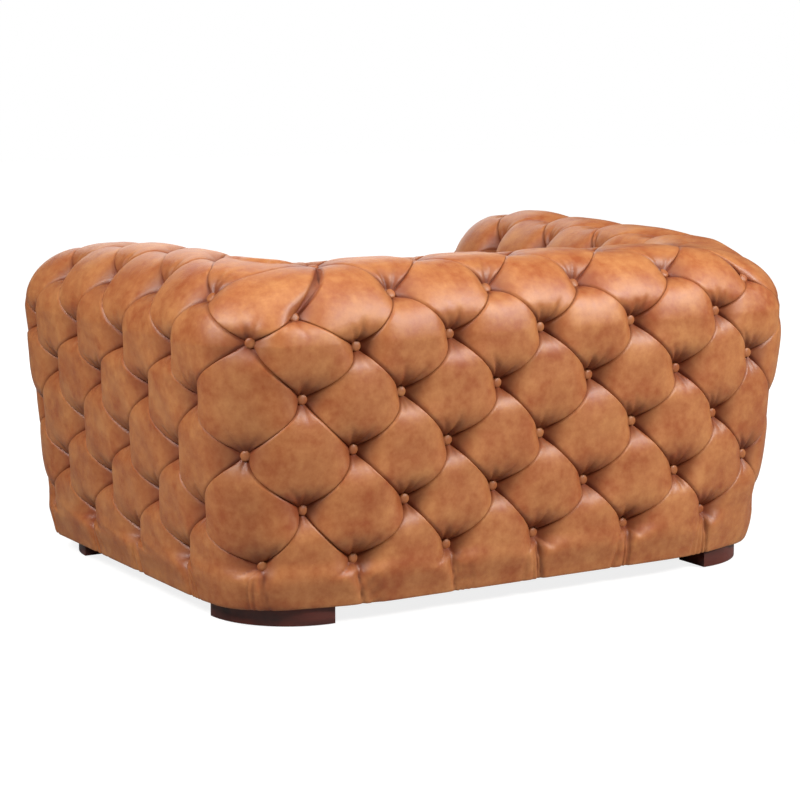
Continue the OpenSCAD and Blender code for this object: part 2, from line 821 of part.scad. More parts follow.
module seat_felt() {
    color([0.55, 0.53, 0.50])
        block([-seat_x, box_front_y, felt_top - felt_thick], [seat_x, seat_rear_y, felt_top]);
}
module seat_foam() {
    color([0.93, 0.88, 0.70])
        block([-seat_x, box_front_y, block_top - block_foam], [seat_x, seat_rear_y, block_top]);
}

// Arm frame: three posts under a top rail, with a panel on each face
module arm_post(y) {
    block([frame_in_x + panel_thick, y, base_top], [frame_out_x - panel_thick, y + post_thick, rail_z]);
}
module bolt_line() {
    for (z = bolt_heights)
        translate([bolt_x, frame_joint_y, z]) rotate([-90, 0, 0]) children();
}
module left_arm_front_post() {
    color(timber) arm_post(frame_front_y);
}
module left_arm_middle_post() {
    color(timber) arm_post((frame_front_y + frame_joint_y - post_thick) / 2);
}
module left_arm_rear_post() {
    color(timber)
        difference() {
            arm_post(frame_joint_y - post_thick);
            bolt_line()
                translate([0, 0, -post_thick - 1]) cylinder(h = post_thick + 2, d = bolt_d + 2 * bore_clear);
        }
}
module left_arm_top_rail() {
    color(timber)
        block(
            [frame_in_x + panel_thick, frame_front_y, rail_z],
            [frame_out_x - panel_thick, frame_joint_y, frame_top]
        );
}
module left_arm_outside_panel() {
    color(ply)
        block([frame_out_x - panel_thick, frame_front_y, base_top], [frame_out_x, back_face_y, frame_top]);
}
module left_arm_inside_panel() {
    color(ply)
        block([frame_in_x, frame_front_y, base_top], [frame_in_x + panel_thick, frame_joint_y, frame_top]);
}
module right_arm_front_post() {
    mirror([1, 0, 0]) left_arm_front_post();
}
module right_arm_middle_post() {
    mirror([1, 0, 0]) left_arm_middle_post();
}
module right_arm_rear_post() {
    mirror([1, 0, 0]) left_arm_rear_post();
}
module right_arm_top_rail() {
    mirror([1, 0, 0]) left_arm_top_rail();
}
module right_arm_outside_panel() {
    mirror([1, 0, 0]) left_arm_outside_panel();
}
module right_arm_inside_panel() {
    mirror([1, 0, 0]) left_arm_inside_panel();
}

// Back frame: end posts, bottom and top rails, two stiles, outside panel and webbing
bottom_rail_high = 32;
stile_x = 200;
module back_left_post() {
    color(timber)
        difference() {
            block(
                [back_post_x, frame_joint_y, base_top],
                [back_post_x + post_thick, back_face_y, rail_z]
            );
            bolt_line() {
                translate([0, 0, -1]) cylinder(h = bolt_reach + 1 + gap, d = bolt_d + 2 * bore_clear);
                translate([-post_thick, 0, nut_set_y])
                    rotate([0, 90, 0])
                        cylinder(h = post_thick + nut_len / 2 + gap, d = nut_d + 2 * bore_clear);
            }
        }
}
module back_right_post() {
    mirror([1, 0, 0]) back_left_post();
}
module back_bottom_rail() {
    color(timber)
        block([-back_post_x, back_rail_y, base_top], [back_post_x, back_face_y, base_top + bottom_rail_high]);
}
module back_top_rail() {
    color(timber)
        block(
            [panel_thick - frame_out_x, back_rail_y, rail_z],
            [frame_out_x - panel_thick, back_face_y, frame_top]
        );
}
module back_stiles() {
    color(timber)
        for (sx = [-1, 1])
            translate([sx * stile_x, 0, 0])
                block(
                    [-post_thick / 2, back_rail_y, base_top + bottom_rail_high],
                    [post_thick / 2, back_face_y, rail_z]
                );
}
module back_outside_panel() {
    color(ply)
        block([-frame_out_x, back_face_y, base_top], [frame_out_x, frame_rear_y, frame_top]);
}
module back_webbing() {
    strap_count = 7;
    span = 2 * (frame_in_x - strap_w);
    color([0.30, 0.27, 0.24])
        for (k = [0:strap_count - 1])
            translate([(k / (strap_count - 1) - 0.5) * span, 0, 0])
                block([-strap_w / 2, frame_joint_y, base_top], [strap_w / 2, back_rail_y, frame_top]);
}

// Bolts through the arm's rear post into barrel nuts in the back's end post
module each_side() {
    for (sx = [0, 1])
        mirror([sx, 0, 0]) children();
}
module frame_bolts() {
    color(steel)
        each_side()
            bolt_line() {
                translate([0, 0, -post_thick - washer_t])
                    cylinder(h = post_thick + washer_t + bolt_reach, d = bolt_d);
                translate([0, 0, -post_thick - washer_t - bolt_head])
                    cylinder(h = bolt_head, d = bolt_head_d, $fn = 6);
            }
}
module frame_washers() {
    color(steel)
        each_side()
            bolt_line()
                translate([0, 0, -post_thick - washer_t])
                    difference() {
                        cylinder(h = washer_t, d = washer_d);
                        translate([0, 0, -1]) cylinder(h = washer_t + 2, d = bolt_d + 2 * bore_clear);
                    }
}
module frame_nuts() {
    color(steel)
        each_side()
            bolt_line()
                difference() {
                    translate([-nut_len / 2, 0, nut_set_y])
                        rotate([0, 90, 0]) cylinder(h = nut_len, d = nut_d);
                    cylinder(h = nut_set_y + nut_d, d = bolt_d + 2 * bore_clear);
                }
}

foot_rear_left();
foot_rear_right();
foot_front_left();
foot_front_right();
foot_glides();
foot_screws();
base_board_left();
base_board_right();
base_board_rear();
base_board_front();
corner_blocks();
dust_cover();
dust_cover_staples();
seat_board_front();
seat_board_rear();
seat_board_left();
seat_board_right();
seat_brace();
seat_springs();
spring_clips();
spring_ties();
seat_felt();
seat_foam();
seat_upholstery();
seat_buttons();
front_border();
front_border_buttons();
left_arm_front_post();
left_arm_middle_post();
left_arm_rear_post();
left_arm_top_rail();
left_arm_outside_panel();
left_arm_inside_panel();
left_arm_upholstery();
left_arm_buttons();
right_arm_front_post();
right_arm_middle_post();
right_arm_rear_post();
right_arm_top_rail();
right_arm_outside_panel();
right_arm_inside_panel();
right_arm_upholstery();
right_arm_buttons();
back_left_post();
back_right_post();
back_bottom_rail();
back_stiles();
back_top_rail();
back_outside_panel();
back_webbing();
back_upholstery();
back_buttons();
frame_bolts();
frame_washers();
frame_nuts();
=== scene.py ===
# Deep-buttoned leather lounge chair: the finish and upholstery of each piece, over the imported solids.
# Lengths are metres. The origin is on the floor, the chair faces -Y and its back is at +Y.
import math

import bmesh
import bpy
import numpy as np
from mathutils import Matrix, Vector


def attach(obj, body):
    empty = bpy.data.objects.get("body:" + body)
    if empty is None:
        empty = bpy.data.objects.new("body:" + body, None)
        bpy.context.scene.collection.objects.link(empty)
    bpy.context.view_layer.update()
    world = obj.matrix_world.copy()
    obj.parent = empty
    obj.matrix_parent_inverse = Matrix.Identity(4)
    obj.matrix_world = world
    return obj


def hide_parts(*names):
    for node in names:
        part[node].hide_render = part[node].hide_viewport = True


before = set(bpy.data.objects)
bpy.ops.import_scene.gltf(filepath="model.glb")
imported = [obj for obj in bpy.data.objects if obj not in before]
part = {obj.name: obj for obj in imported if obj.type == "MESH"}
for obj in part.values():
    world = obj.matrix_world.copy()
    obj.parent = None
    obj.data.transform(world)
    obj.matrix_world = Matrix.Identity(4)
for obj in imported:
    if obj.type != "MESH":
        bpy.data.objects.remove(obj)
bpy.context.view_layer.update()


# Feet: four low quarter-round blocks of mahogany, square-cut at both ends.
# They are stained dark, satin varnished, and screwed up into the base boards.
# Their arrises are eased, so that each catches a thin line of light.
class Socket:
    """An output of a material's nodes, which adds and multiplies like a number."""

    def __init__(self, finish, output):
        self.finish, self.output = finish, output

    def math(self, operation, first, second):
        return self.finish.add("ShaderNodeMath", {"operation": operation}, {0: first, 1: second})

    def __add__(self, other):
        return self.math("ADD", self, other)

    def __sub__(self, other):
        return self.math("SUBTRACT", self, other)

    def __rsub__(self, other):
        return self.math("SUBTRACT", other, self)

    def __mul__(self, other):
        return self.math("MULTIPLY", self, other)

    __radd__ = __add__
    __rmul__ = __mul__


class Finish:
    """A material on one Principled shader, with nodes added by type, settings and inputs."""

    def __init__(self, name, **fixed):
        self.material = bpy.data.materials.new(name)
        self.material.use_nodes = True
        self.tree = self.material.node_tree
        self.shader = self.tree.nodes["Principled BSDF"]
        for socket, value in fixed.items():
            self.set(socket.replace("_", " "), value)

    def add(self, kind, settings=(), inputs=(), output=0):
        node = self.tree.nodes.new(kind)
        for key, value in dict(settings).items():
            setattr(node, key, value)
        for key, value in dict(inputs).items():
            self.feed(node.inputs[key], value)
        return Socket(self, node.outputs[output])

    def feed(self, socket, value):
        if isinstance(value, Socket):
            self.tree.links.new(value.output, socket)
        else:
            socket.default_value = value

    def set(self, name, value):
        if isinstance(value, tuple) and len(value) == 3:
            value = (*value, 1)
        self.feed(self.shader.inputs[name], value)


def pattern_place(finish, scale=(1, 1, 1)):
    """Object coordinates, stretched for a pattern that has a direction."""
    place = finish.add("ShaderNodeTexCoord", output="Object")
    return finish.add("ShaderNodeMapping", inputs={"Vector": place, "Scale": scale})


def noise(finish, place, scale, detail=3.0, roughness=0.5):
    """A cloudy pattern from 0 to 1."""
    settings = {"Vector": place, "Scale": scale, "Detail": detail, "Roughness": roughness}
    return finish.add("ShaderNodeTexNoise", inputs=settings)


def blend(finish, share, first, second):
    """A colour between the first and the second, which the mixing node takes at inputs 6 and 7."""
    inputs = {0: share, 6: (*first, 1) if isinstance(first, tuple) else first, 7: (*second, 1)}
    return finish.add("ShaderNodeMix", {"data_type": "RGBA"}, inputs, output=2)


def remap(finish, value, low, high, to_low=0.0, to_high=1.0, curve="LINEAR"):
    """Spreads a value's range from low to high over another range."""
    inputs = {"Value": value, "From Min": low, "From Max": high, "To Min": to_low, "To Max": to_high}
    return finish.add("ShaderNodeMapRange", {"interpolation_type": curve}, inputs)


def relief(finish, height, strength, distance):
    """Gives a finish the fine relief of a pattern."""
    inputs = {"Strength": strength, "Distance": distance, "Height": height}
    finish.set("Normal", finish.add("ShaderNodeBump", inputs=inputs))


def wood(name, dark, light, grain, rough):
    """Timber with long grain along X, figure across it and fine open pores."""
    finish = Finish(name)
    along = pattern_place(finish, (grain * 0.12, grain, grain))
    figure = noise(finish, along, 1.0, 4.0, 0.6)
    pores = noise(finish, pattern_place(finish, (60, 900, 900)), 1.0, 2.0)
    finish.set("Base Color", blend(finish, remap(finish, figure, 0.35, 0.68), dark, light))
    finish.set("Roughness", rough + 0.15 * (figure - 0.5))
    relief(finish, pores, 0.25, 0.0004)
    return finish


mahogany = wood("mahogany_stain", (0.045, 0.008, 0.005), (0.120, 0.021, 0.012), 22, 0.42)
mahogany.set("Coat Weight", 0.12)
mahogany.set("Coat Roughness", 0.22)


def add_object(name, data):
    """An object in the scene with this mesh, lamp or camera."""
    thing = bpy.data.objects.new(name, data)
    bpy.context.scene.collection.objects.link(thing)
    return thing


def eased_copy(node, name, width):
    """A copy of a hard solid with its arrises rounded over."""
    piece = add_object(name, part[node].data.copy())
    bpy.ops.object.select_all(action="DESELECT")
    piece.select_set(True)
    bpy.context.view_layer.objects.active = piece
    bpy.ops.object.mode_set(mode="EDIT")
    bpy.ops.mesh.select_all(action="SELECT")
    bpy.ops.mesh.remove_doubles(threshold=0.00001)
    bpy.ops.mesh.dissolve_limited(angle_limit=math.radians(1))
    bpy.ops.object.mode_set(mode="OBJECT")
    arris = piece.modifiers.new("arris", "BEVEL")
    arris.width = width
    arris.segments = 3
    arris.limit_method = "ANGLE"
    arris.angle_limit = math.radians(40)
    bpy.ops.object.modifier_apply(modifier="arris")
    bpy.ops.object.shade_smooth_by_angle(angle=math.radians(35))
    piece.data.materials.clear()
    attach(piece, "root")
    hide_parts(node)
    return piece


for node in ("foot_rear_left", "foot_rear_right", "foot_front_left", "foot_front_right"):
    foot = eased_copy(node, node.replace("foot", "mahogany_foot"), 0.0015)
    foot.data.materials.append(mahogany.material)

# Glides and foot screws: a pressed-in nylon glide under each foot, scuffed where it touches the floor,
# and plated wood screws in deep counterbores.
nylon = Finish("glide_nylon", Roughness=0.55)
scuff = noise(nylon, pattern_place(nylon), 180.0, 4.0)
nylon.set("Base Color", blend(nylon, scuff, (0.78, 0.77, 0.73), (0.55, 0.54, 0.50)))


def coat(finish, *nodes):
    """Gives carried-over solids their finish."""
    for node in nodes:
        mesh = part[node].data
        mesh.materials.clear()
        mesh.materials.append(finish.material)


coat(nylon, "foot_glides")


def metal(name, colour, rough, streak):
    """Bare or plated metal with fine streaks from drawing or turning."""
    finish = Finish(name, Metallic=1.0)
    marks = noise(finish, pattern_place(finish, streak), 1.0, 2.0)
    finish.set("Base Color", blend(finish, marks, colour, tuple(0.72 * c for c in colour)))
    finish.set("Roughness", rough + 0.2 * (marks - 0.5))
    return finish


zinc = metal("zinc_plate", (0.62, 0.63, 0.65), 0.38, (90, 90, 900))
coat(zinc, "foot_screws", "frame_bolts", "frame_washers", "frame_nuts")

# Base frame and seat box: planed softwood boards butted at the corners, with triangular blocks glued in.
# The seat box stands on the base as four boards of birch plywood on edge, with a brace from front to rear.
softwood = wood("planed_softwood", (0.50, 0.33, 0.17), (0.74, 0.56, 0.35), 30, 0.62)
coat(softwood, "base_board_left", "base_board_right", "base_board_rear", "base_board_front", "corner_blocks")
birch = wood("birch_plywood", (0.56, 0.41, 0.25), (0.72, 0.57, 0.38), 14, 0.58)
coat(birch, "seat_board_front", "seat_board_rear", "seat_board_left", "seat_board_right", "seat_brace")

# Dust cover: black cambric stapled under the base, cut round the feet.
# It is a thin open cloth, so its threads show as a fine cross pattern.


def threads(finish, across, scale, distortion=0.0):
    """Evenly spaced threads, counted along one axis."""
    inputs = {"Vector": pattern_place(finish), "Scale": scale, "Distortion": distortion}
    return finish.add("ShaderNodeTexWave", {"bands_direction": across}, inputs, output=1)


cambric = Finish("black_cambric", Roughness=0.92)
weave = threads(cambric, "X", 420.0) * 0.5 + threads(cambric, "Y", 420.0) * 0.5
cambric.set("Base Color", blend(cambric, weave, (0.012, 0.012, 0.014), (0.045, 0.045, 0.050)))
relief(cambric, weave, 0.3, 0.0003)
coat(cambric, "dust_cover")
coat(zinc, "dust_cover_staples")

# Seat suspension: serpentine springs of blued wire, held by folded clips on the front and rear boards.
# Three tie wires cross them, with a grey needle felt and a foam block on top.
blued = metal("blued_spring_wire", (0.17, 0.17, 0.19), 0.34, (500, 60, 500))
coat(blued, "seat_springs", "spring_ties")
coat(zinc, "spring_clips")
felt = Finish("needle_felt", Roughness=0.97)
flock = noise(felt, pattern_place(felt), 260.0, 5.0, 0.65)
felt.set("Base Color", blend(felt, flock, (0.22, 0.21, 0.19), (0.42, 0.40, 0.37)))
relief(felt, flock, 0.5, 0.0008)
coat(felt, "seat_felt")
foam = Finish("seat_foam_block", Roughness=0.95)
cells = foam.add("ShaderNodeTexVoronoi", inputs={"Vector": pattern_place(foam), "Scale": 700.0})
foam.set("Base Color", blend(foam, cells, (0.80, 0.72, 0.50), (0.92, 0.86, 0.66)))
relief(foam, cells, 0.4, 0.0006)
coat(foam, "seat_foam")

# Arm and back frames: softwood posts, rails and stiles, faced with thin panels.
# Jute straps are stretched up the inside of the back, and bolts draw the arms to it.
for side in ("left_arm_", "right_arm_"):
    coat(softwood, side + "front_post", side + "middle_post", side + "rear_post", side + "top_rail")
    coat(birch, side + "outside_panel", side + "inside_panel")
coat(softwood, "back_left_post", "back_right_post", "back_bottom_rail", "back_stiles", "back_top_rail")
coat(birch, "back_outside_panel")
jute = Finish("jute_webbing", Roughness=0.9)
plait = threads(jute, "Z", 130.0, 1.5)
jute.set("Base Color", blend(jute, plait, (0.10, 0.085, 0.07), (0.30, 0.26, 0.20)))
relief(jute, plait, 0.6, 0.0008)
coat(jute, "back_webbing")

# Upholstery of back and arms: one run of full aniline cowhide in cognac over foam, buttoned through on a
# diamond lattice. Shade is painted into the hide's colour: redder and darker in the folds, so the crowns read
# paler.
# Its grain is fine pebbles with soft creases.


def hide_finish(name, on_buttons=False):
    """Dyed hide with painted shade: darker and redder by how deep in a fold each point lies, as the pads'
    meshes say. All buttons are alike, and each takes one fixed share of that painted shade.
    """
    finish = Finish(name)
    place = pattern_place(finish)
    # Buttons take a fixed share of the painted fold shade, and pads read their share from the mesh.
    fold = 0.3 if on_buttons else finish.add("ShaderNodeAttribute", {"attribute_name": "fold"}, output="Fac")
    cloud = noise(finish, place, 13.0, 4.0, 0.6)
    mottle = noise(finish, place, 55.0, 4.0, 0.65)
    dye = remap(finish, cloud * 0.6 + mottle * 0.4, 0.36, 0.64)
    crown = blend(finish, dye, (0.330, 0.080, 0.020), (0.500, 0.200, 0.066))
    # Painted shade: the dye's mottled colour turns darker and redder, up to this dark red-brown, the deeper a
    # point lies in a fold.
    painted_fold_shade = remap(finish, fold, 0.08, 0.9, 0.0, 0.9)
    finish.set("Base Color", blend(finish, painted_fold_shade, crown, (0.165, 0.030, 0.009)))
    cracks = {"feature": "DISTANCE_TO_EDGE"}
    pebbles = finish.add("ShaderNodeTexVoronoi", cracks, {"Vector": place, "Scale": 620.0})
    grain = remap(finish, pebbles, 0.0, 0.25)
    creasing = noise(finish, place, 160.0, 4.0, 0.6)
    relief(finish, grain * 0.5 + creasing * 0.7, 0.32, 0.0006)
    finish.set("Roughness", 0.46 + 0.16 * (mottle - 0.5) - 0.05 * grain)
    finish.set("IOR", 1.50)
    return finish


hide = hide_finish("cognac_hide")

# Columns count quarters of a button pitch round the U from the middle of the back, to the tips at -32 and 32.
# Rows run from the outside hem (0) over the crest (14) and down the inside (28).
mitre, first_side, front, tip = 12, 16, 28, 32
first_row, shoulder_row, crest_row, seat_row, last_row = 2, 10, 14, 20, 28

# Plan of the outer buttons: half width, half depth, ends of the arms' straight sides, corner radii.
half_w, half_d = 0.690, 0.515
side_y, front_y = 0.287, -0.3892
corner_r, crest_r, inside_r, square_r = 0.125, 0.165, 0.060, 0.006

# Cross-section: thickness between the buttons, the crest's roll, heights of hem and rows, and the lean.
wall_thick, roll_r, roll_z = 0.260, 0.130, 0.5551
hem_z, first_z, row_step, hem_turn_z = 0.0383, 0.132, 0.05289, 0.100
lean, side_lean = 0.018, 0.026

# How low the leather is tucked behind the seat, and how far the near arm's crest has sunk at its front.
behind_seat_z, near_droop = 0.385, 0.024

# The hollow for the timber frame lies this far inside the inner and the outer buttons.
hollow, outer_hollow = 0.060, 0.084
hollow_top = 0.6171

# How far a full tuft swells past its buttons.
full_swell = 0.036


def step(value, low, high):
    """Smooth rise from 0 at low to 1 at high."""
    t = np.clip((value - low) / (high - low), 0, 1)
    return t * t * (3 - 2 * t)


def outline(i, d, r):
    """Plan point and outward way of column i on the outline that lies d inside the outer buttons."""
    across, i = np.sign(i), np.abs(i)
    length = half_w - d - r + r * math.pi / 4
    pitch = (half_w - corner_r + corner_r * math.pi / 4) / mitre
    # Up to column 8 the buttons keep the outer pitch as nearly as they can, and the rest share what is left.
    even = 8
    fit = np.minimum(pitch, length * 0.95 / even)
    along = np.where(i <= even, i * fit, even * fit + (length - even * fit) * (i - even) / (mitre - even))
    straight = half_w - d - r
    turn = np.maximum(0, along - straight) / r
    back = (np.minimum(along, straight) + r * np.sin(turn), half_d - d - r + r * np.cos(turn))
    back_way = (np.sin(turn), np.cos(turn))
    arc, arc_end = r * math.pi / 4, half_d - d - r
    start = np.minimum(side_y, arc_end - 0.005)
    past = (arc + arc_end - start) * (i - mitre) / (first_side - mitre)
    swing = math.pi / 4 + np.minimum(past, arc) / r
    corner = (half_w - d - r + r * np.sin(swing), arc_end + r * np.cos(swing) - np.maximum(0, past - arc))
    side = (half_w - d, start + (front_y - start) * (i - first_side) / (front - first_side))
    swing_front = math.pi / 2 * (i - front) / (tip - front)
    reach = roll_r - d
    nose = (half_w - roll_r + reach * np.cos(swing_front), front_y - np.abs(reach) * np.sin(swing_front))
    zone = [i <= mitre, i <= first_side, i <= front]
    x = np.select(zone, [back[0], corner[0], side[0]], nose[0])
    y = np.select(zone, [back[1], corner[1], side[1]], nose[1])
    way_x = np.select(zone, [back_way[0], np.sin(swing), 1.0], np.sign(reach) * np.cos(swing_front))
    way_y = np.select(zone, [back_way[1], np.cos(swing), 0.0], -np.sin(swing_front))
    return across * x, y, across * way_x, way_y


def wall_surface(i, row):
    """Point and outward normal on the smooth wall that the tufts swell from."""
    inside = row > crest_row
    j = np.minimum(row, last_row - row)
    angle = np.radians(np.interp(j, [10, 11, 12, 13, 14], [0, 19, 39, 64, 90]))
    column = np.abs(i)
    # Round the tip the crest shrinks to one point, so the two creases that reach it there run as one.
    gap = np.clip(crest_row - j, 1e-6, 2)
    past = np.clip(column - front, 0, 4)
    past = np.where(past < gap, 2 * past / gap, np.where(past > 4 - gap, 4 - 2 * (4 - past) / gap, 2))
    i = np.where((column > front) & (j > 12), np.sign(i) * (front + past), i)
    column = np.abs(i)
    share = np.where(inside, np.clip((column - front) / (tip - front), 0, 1), 1.0)
    low = np.clip(j, first_row, shoulder_row)
    z_hem = hem_z + np.clip(j, 0, first_row) / first_row * (first_z - hem_z)
    under = np.clip((hem_turn_z - z_hem) / (hem_turn_z - hem_z), 0, 1)
    at_corner = np.clip(1 - np.abs(column - mitre) / 3, 0, 1)
    tuck = (0.008 + 0.006 * at_corner) * (1 - np.sqrt(1 - 0.98 * under ** 2))
    more_lean = side_lean * step(column, 6, mitre - 1) * np.clip((tip - column) / 2, 0, 1)
    leaning = (lean + more_lean) * (shoulder_row - low) / (shoulder_row - first_row)
    inset = np.where(j > shoulder_row, roll_r * (1 - np.cos(angle)), share * (leaning + tuck))
    z_low = np.where(j >= first_row, first_z + (low - first_row) * row_step, z_hem)
    z = np.where(j > shoulder_row, roll_z + roll_r * np.sin(angle), z_low)
    # The inside leather is pulled down behind the seat, and the near arm's crest has sunk towards its front.
    tucked_in = inside * (1 - step(column, 28, 30)) * np.interp(j, [2, 8, 10], [0, 1, 0])
    z = z - tucked_in * (first_z + 6 * row_step - behind_seat_z)
    z = z - near_droop * (i > 0) * step(column, 22, 31) * step(j, 8, 13)
    d = np.where(inside, wall_thick - inset, inset)
    outer_fillet = np.where(j > 10, np.interp(j, [10, 14], [corner_r, crest_r]), corner_r - d / 2)
    inner_fillet = np.interp(j, [8, 9, 10.5, 14], [square_r, inside_r, inside_r, crest_r])
    fillet = np.where(inside, inner_fillet, outer_fillet)
    x, y, way_x, way_y = outline(i, d, fillet)
    flip = np.where(inside & (column <= front), -1, 1)
    point = np.stack([x, y, z], -1)
    way = np.stack([flip * way_x * np.cos(angle), flip * way_y * np.cos(angle), np.sin(angle)], -1)
    return point, way


def wall_fullness(i, row):
    """How far a full tuft stands out from the buttons, at each place on the wall."""
    column = np.abs(i)
    j = np.minimum(row, last_row - row)
    corner = 1 - 0.45 * np.clip(1 - np.abs(column - mitre) / 4, 0, 1)
    over_arm = np.interp(i, [-26, -18, -12, 12, 18], [1.05, 0.70, 0.28, 0.38, 0.52])
    crest = 1 - (1 - over_arm) * np.interp(j, [10, 12, 14], [0, 0.36, 1])
    outside = corner * crest
    inner_corner = 1 - 0.7 * step(column, 6, 9) * (1 - step(column, 15, 18)) * (1 - step(j, 12, 14))
    above_seat = np.maximum(step(j, 8, 9.5), step(column, 29.5, 31))
    inside = inner_corner * crest * above_seat
    hem = np.where(j < first_row, 0.70 + 0.30 * step(j, 0.2, 1.6), 1)
    # The far rear corner is packed less full at the crest and the hem.
    far_corner = 1 - 0.45 * np.exp(-((i + mitre) / 3) ** 2) * (step(j, 8, 11) + 1 - step(j, 1, 3))
    return far_corner * full_swell * np.where(row > crest_row, inside, outside) * hem


def wall_bow(i, row, rising):
    """How far each crease bows along the wall, as a share of its run, and which way its lip is laid:
    away from the left rear corner. Creases that rise with the column are straighter than those that fall."""
    up = np.interp(i, [-14, 5, 9, 13, 32], [-0.03, -0.03, 0.04, 0.10, 0.08])
    up = up + np.interp(row, [5, 11], [0.10, 0.0])
    down = np.interp(i, [-12, 7, 9, 11, 13, 15, 32], [-0.14, -0.14, -0.12, -0.05, 0.12, 0.07, 0.09])
    lip = np.where(i < np.where(rising, 8, 12), -1, 1)
    zero = np.zeros_like(i)
    at_tip = np.abs(i) > tip - 2
    return np.where(at_tip, 0, np.where(rising, up, down)), zero, lip, zero


# How far each button on the outside of the back has strayed, by its column and row.
button_play = {
    (10, 12): (0.15, -0.80), (-2, 12): (0.15, -0.05), (-6, 12): (-0.15, 0.15), (-10, 12): (-0.05, -0.35),
    (12, 10): (-0.35, 0.15), (8, 10): (-0.30, -0.20), (4, 10): (-0.10, 0), (-4, 10): (-0.10, 0),
    (-8, 10): (-0.15, 0.15),
    (14, 8): (0.40, -0.10), (10, 8): (-0.20, 0), (6, 8): (-0.15, 0), (2, 8): (-0.20, 0),
    (-2, 8): (-0.25, 0), (-6, 8): (-0.35, -0.05), (-10, 8): (0, 0.30),
    (8, 6): (-0.30, 0), (4, 6): (-0.15, 0), (0, 6): (-0.15, -0.10), (-4, 6): (-0.35, 0),
    (-8, 6): (-0.35, -0.05),
    (14, 4): (0.45, -0.30), (10, 4): (-0.25, -0.10), (6, 4): (-0.40, -0.05), (2, 4): (-0.15, 0.05),
    (-2, 4): (-0.20, -0.15), (-6, 4): (-0.50, -0.20), (-10, 4): (-0.50, 0.05),
    (12, 2): (-0.50, -0.15), (8, 2): (-0.40, -0.10), (4, 2): (-0.20, 0), (-4, 2): (-0.15, -0.10),
}


def wall_knots(i, row):
    """Where the buttons sit. Those of the back have strayed a little, and the near arm's hang lower and
    further forward. The crest's rear corners have none, so creases there run on to the back's next button."""
    near_arm = np.interp(i, [14, 16, 20, 28, 30], [0, 0.7, 1, 1, 0])
    low = np.interp(row, [0, 2, 4, 6, 8, 10, 12], [0, -0.30, -0.35, -0.50, -0.25, -0.65, 0]) * near_arm
    forward = np.interp(row, [0, 2, 8, 10], [0.35, 0.35, 0.40, 0]) * near_arm
    left_out = (np.abs(i) == mitre) & (row == crest_row)
    moved_i, moved_row = np.where(left_out, np.sign(i) * (mitre - 4), i) + forward, row + low
    for (knot_i, knot_row), (stray_i, stray_row) in button_play.items():
        here = (i == knot_i) & (row == knot_row)
        moved_i, moved_row = moved_i + stray_i * here, moved_row + stray_row * here
    return moved_i, moved_row


# Lengths on the wall: a crease from button to button, one column and one row.
crease_run, column_run, row_run = 0.153, 0.0553, 0.0530

# Creases: their depth, their width on the lip's side and the tucked side, and how far the lip is pushed out.
crease_depth, lip_width, tuck_width, lip_push = 0.0055, 0.005, 0.007, 0.0035

# Around each button the hide is drawn down into a small pit.
pit_depth, pit_r = 0.006, 0.017


def scatter(a, b, seed):
    """A steady pseudo-random number from 0 to 1 for each pair of whole numbers."""
    value = np.sin(a * 127.1 + b * 311.7 + seed * 74.7) * 43758.5453
    return value - np.floor(value)


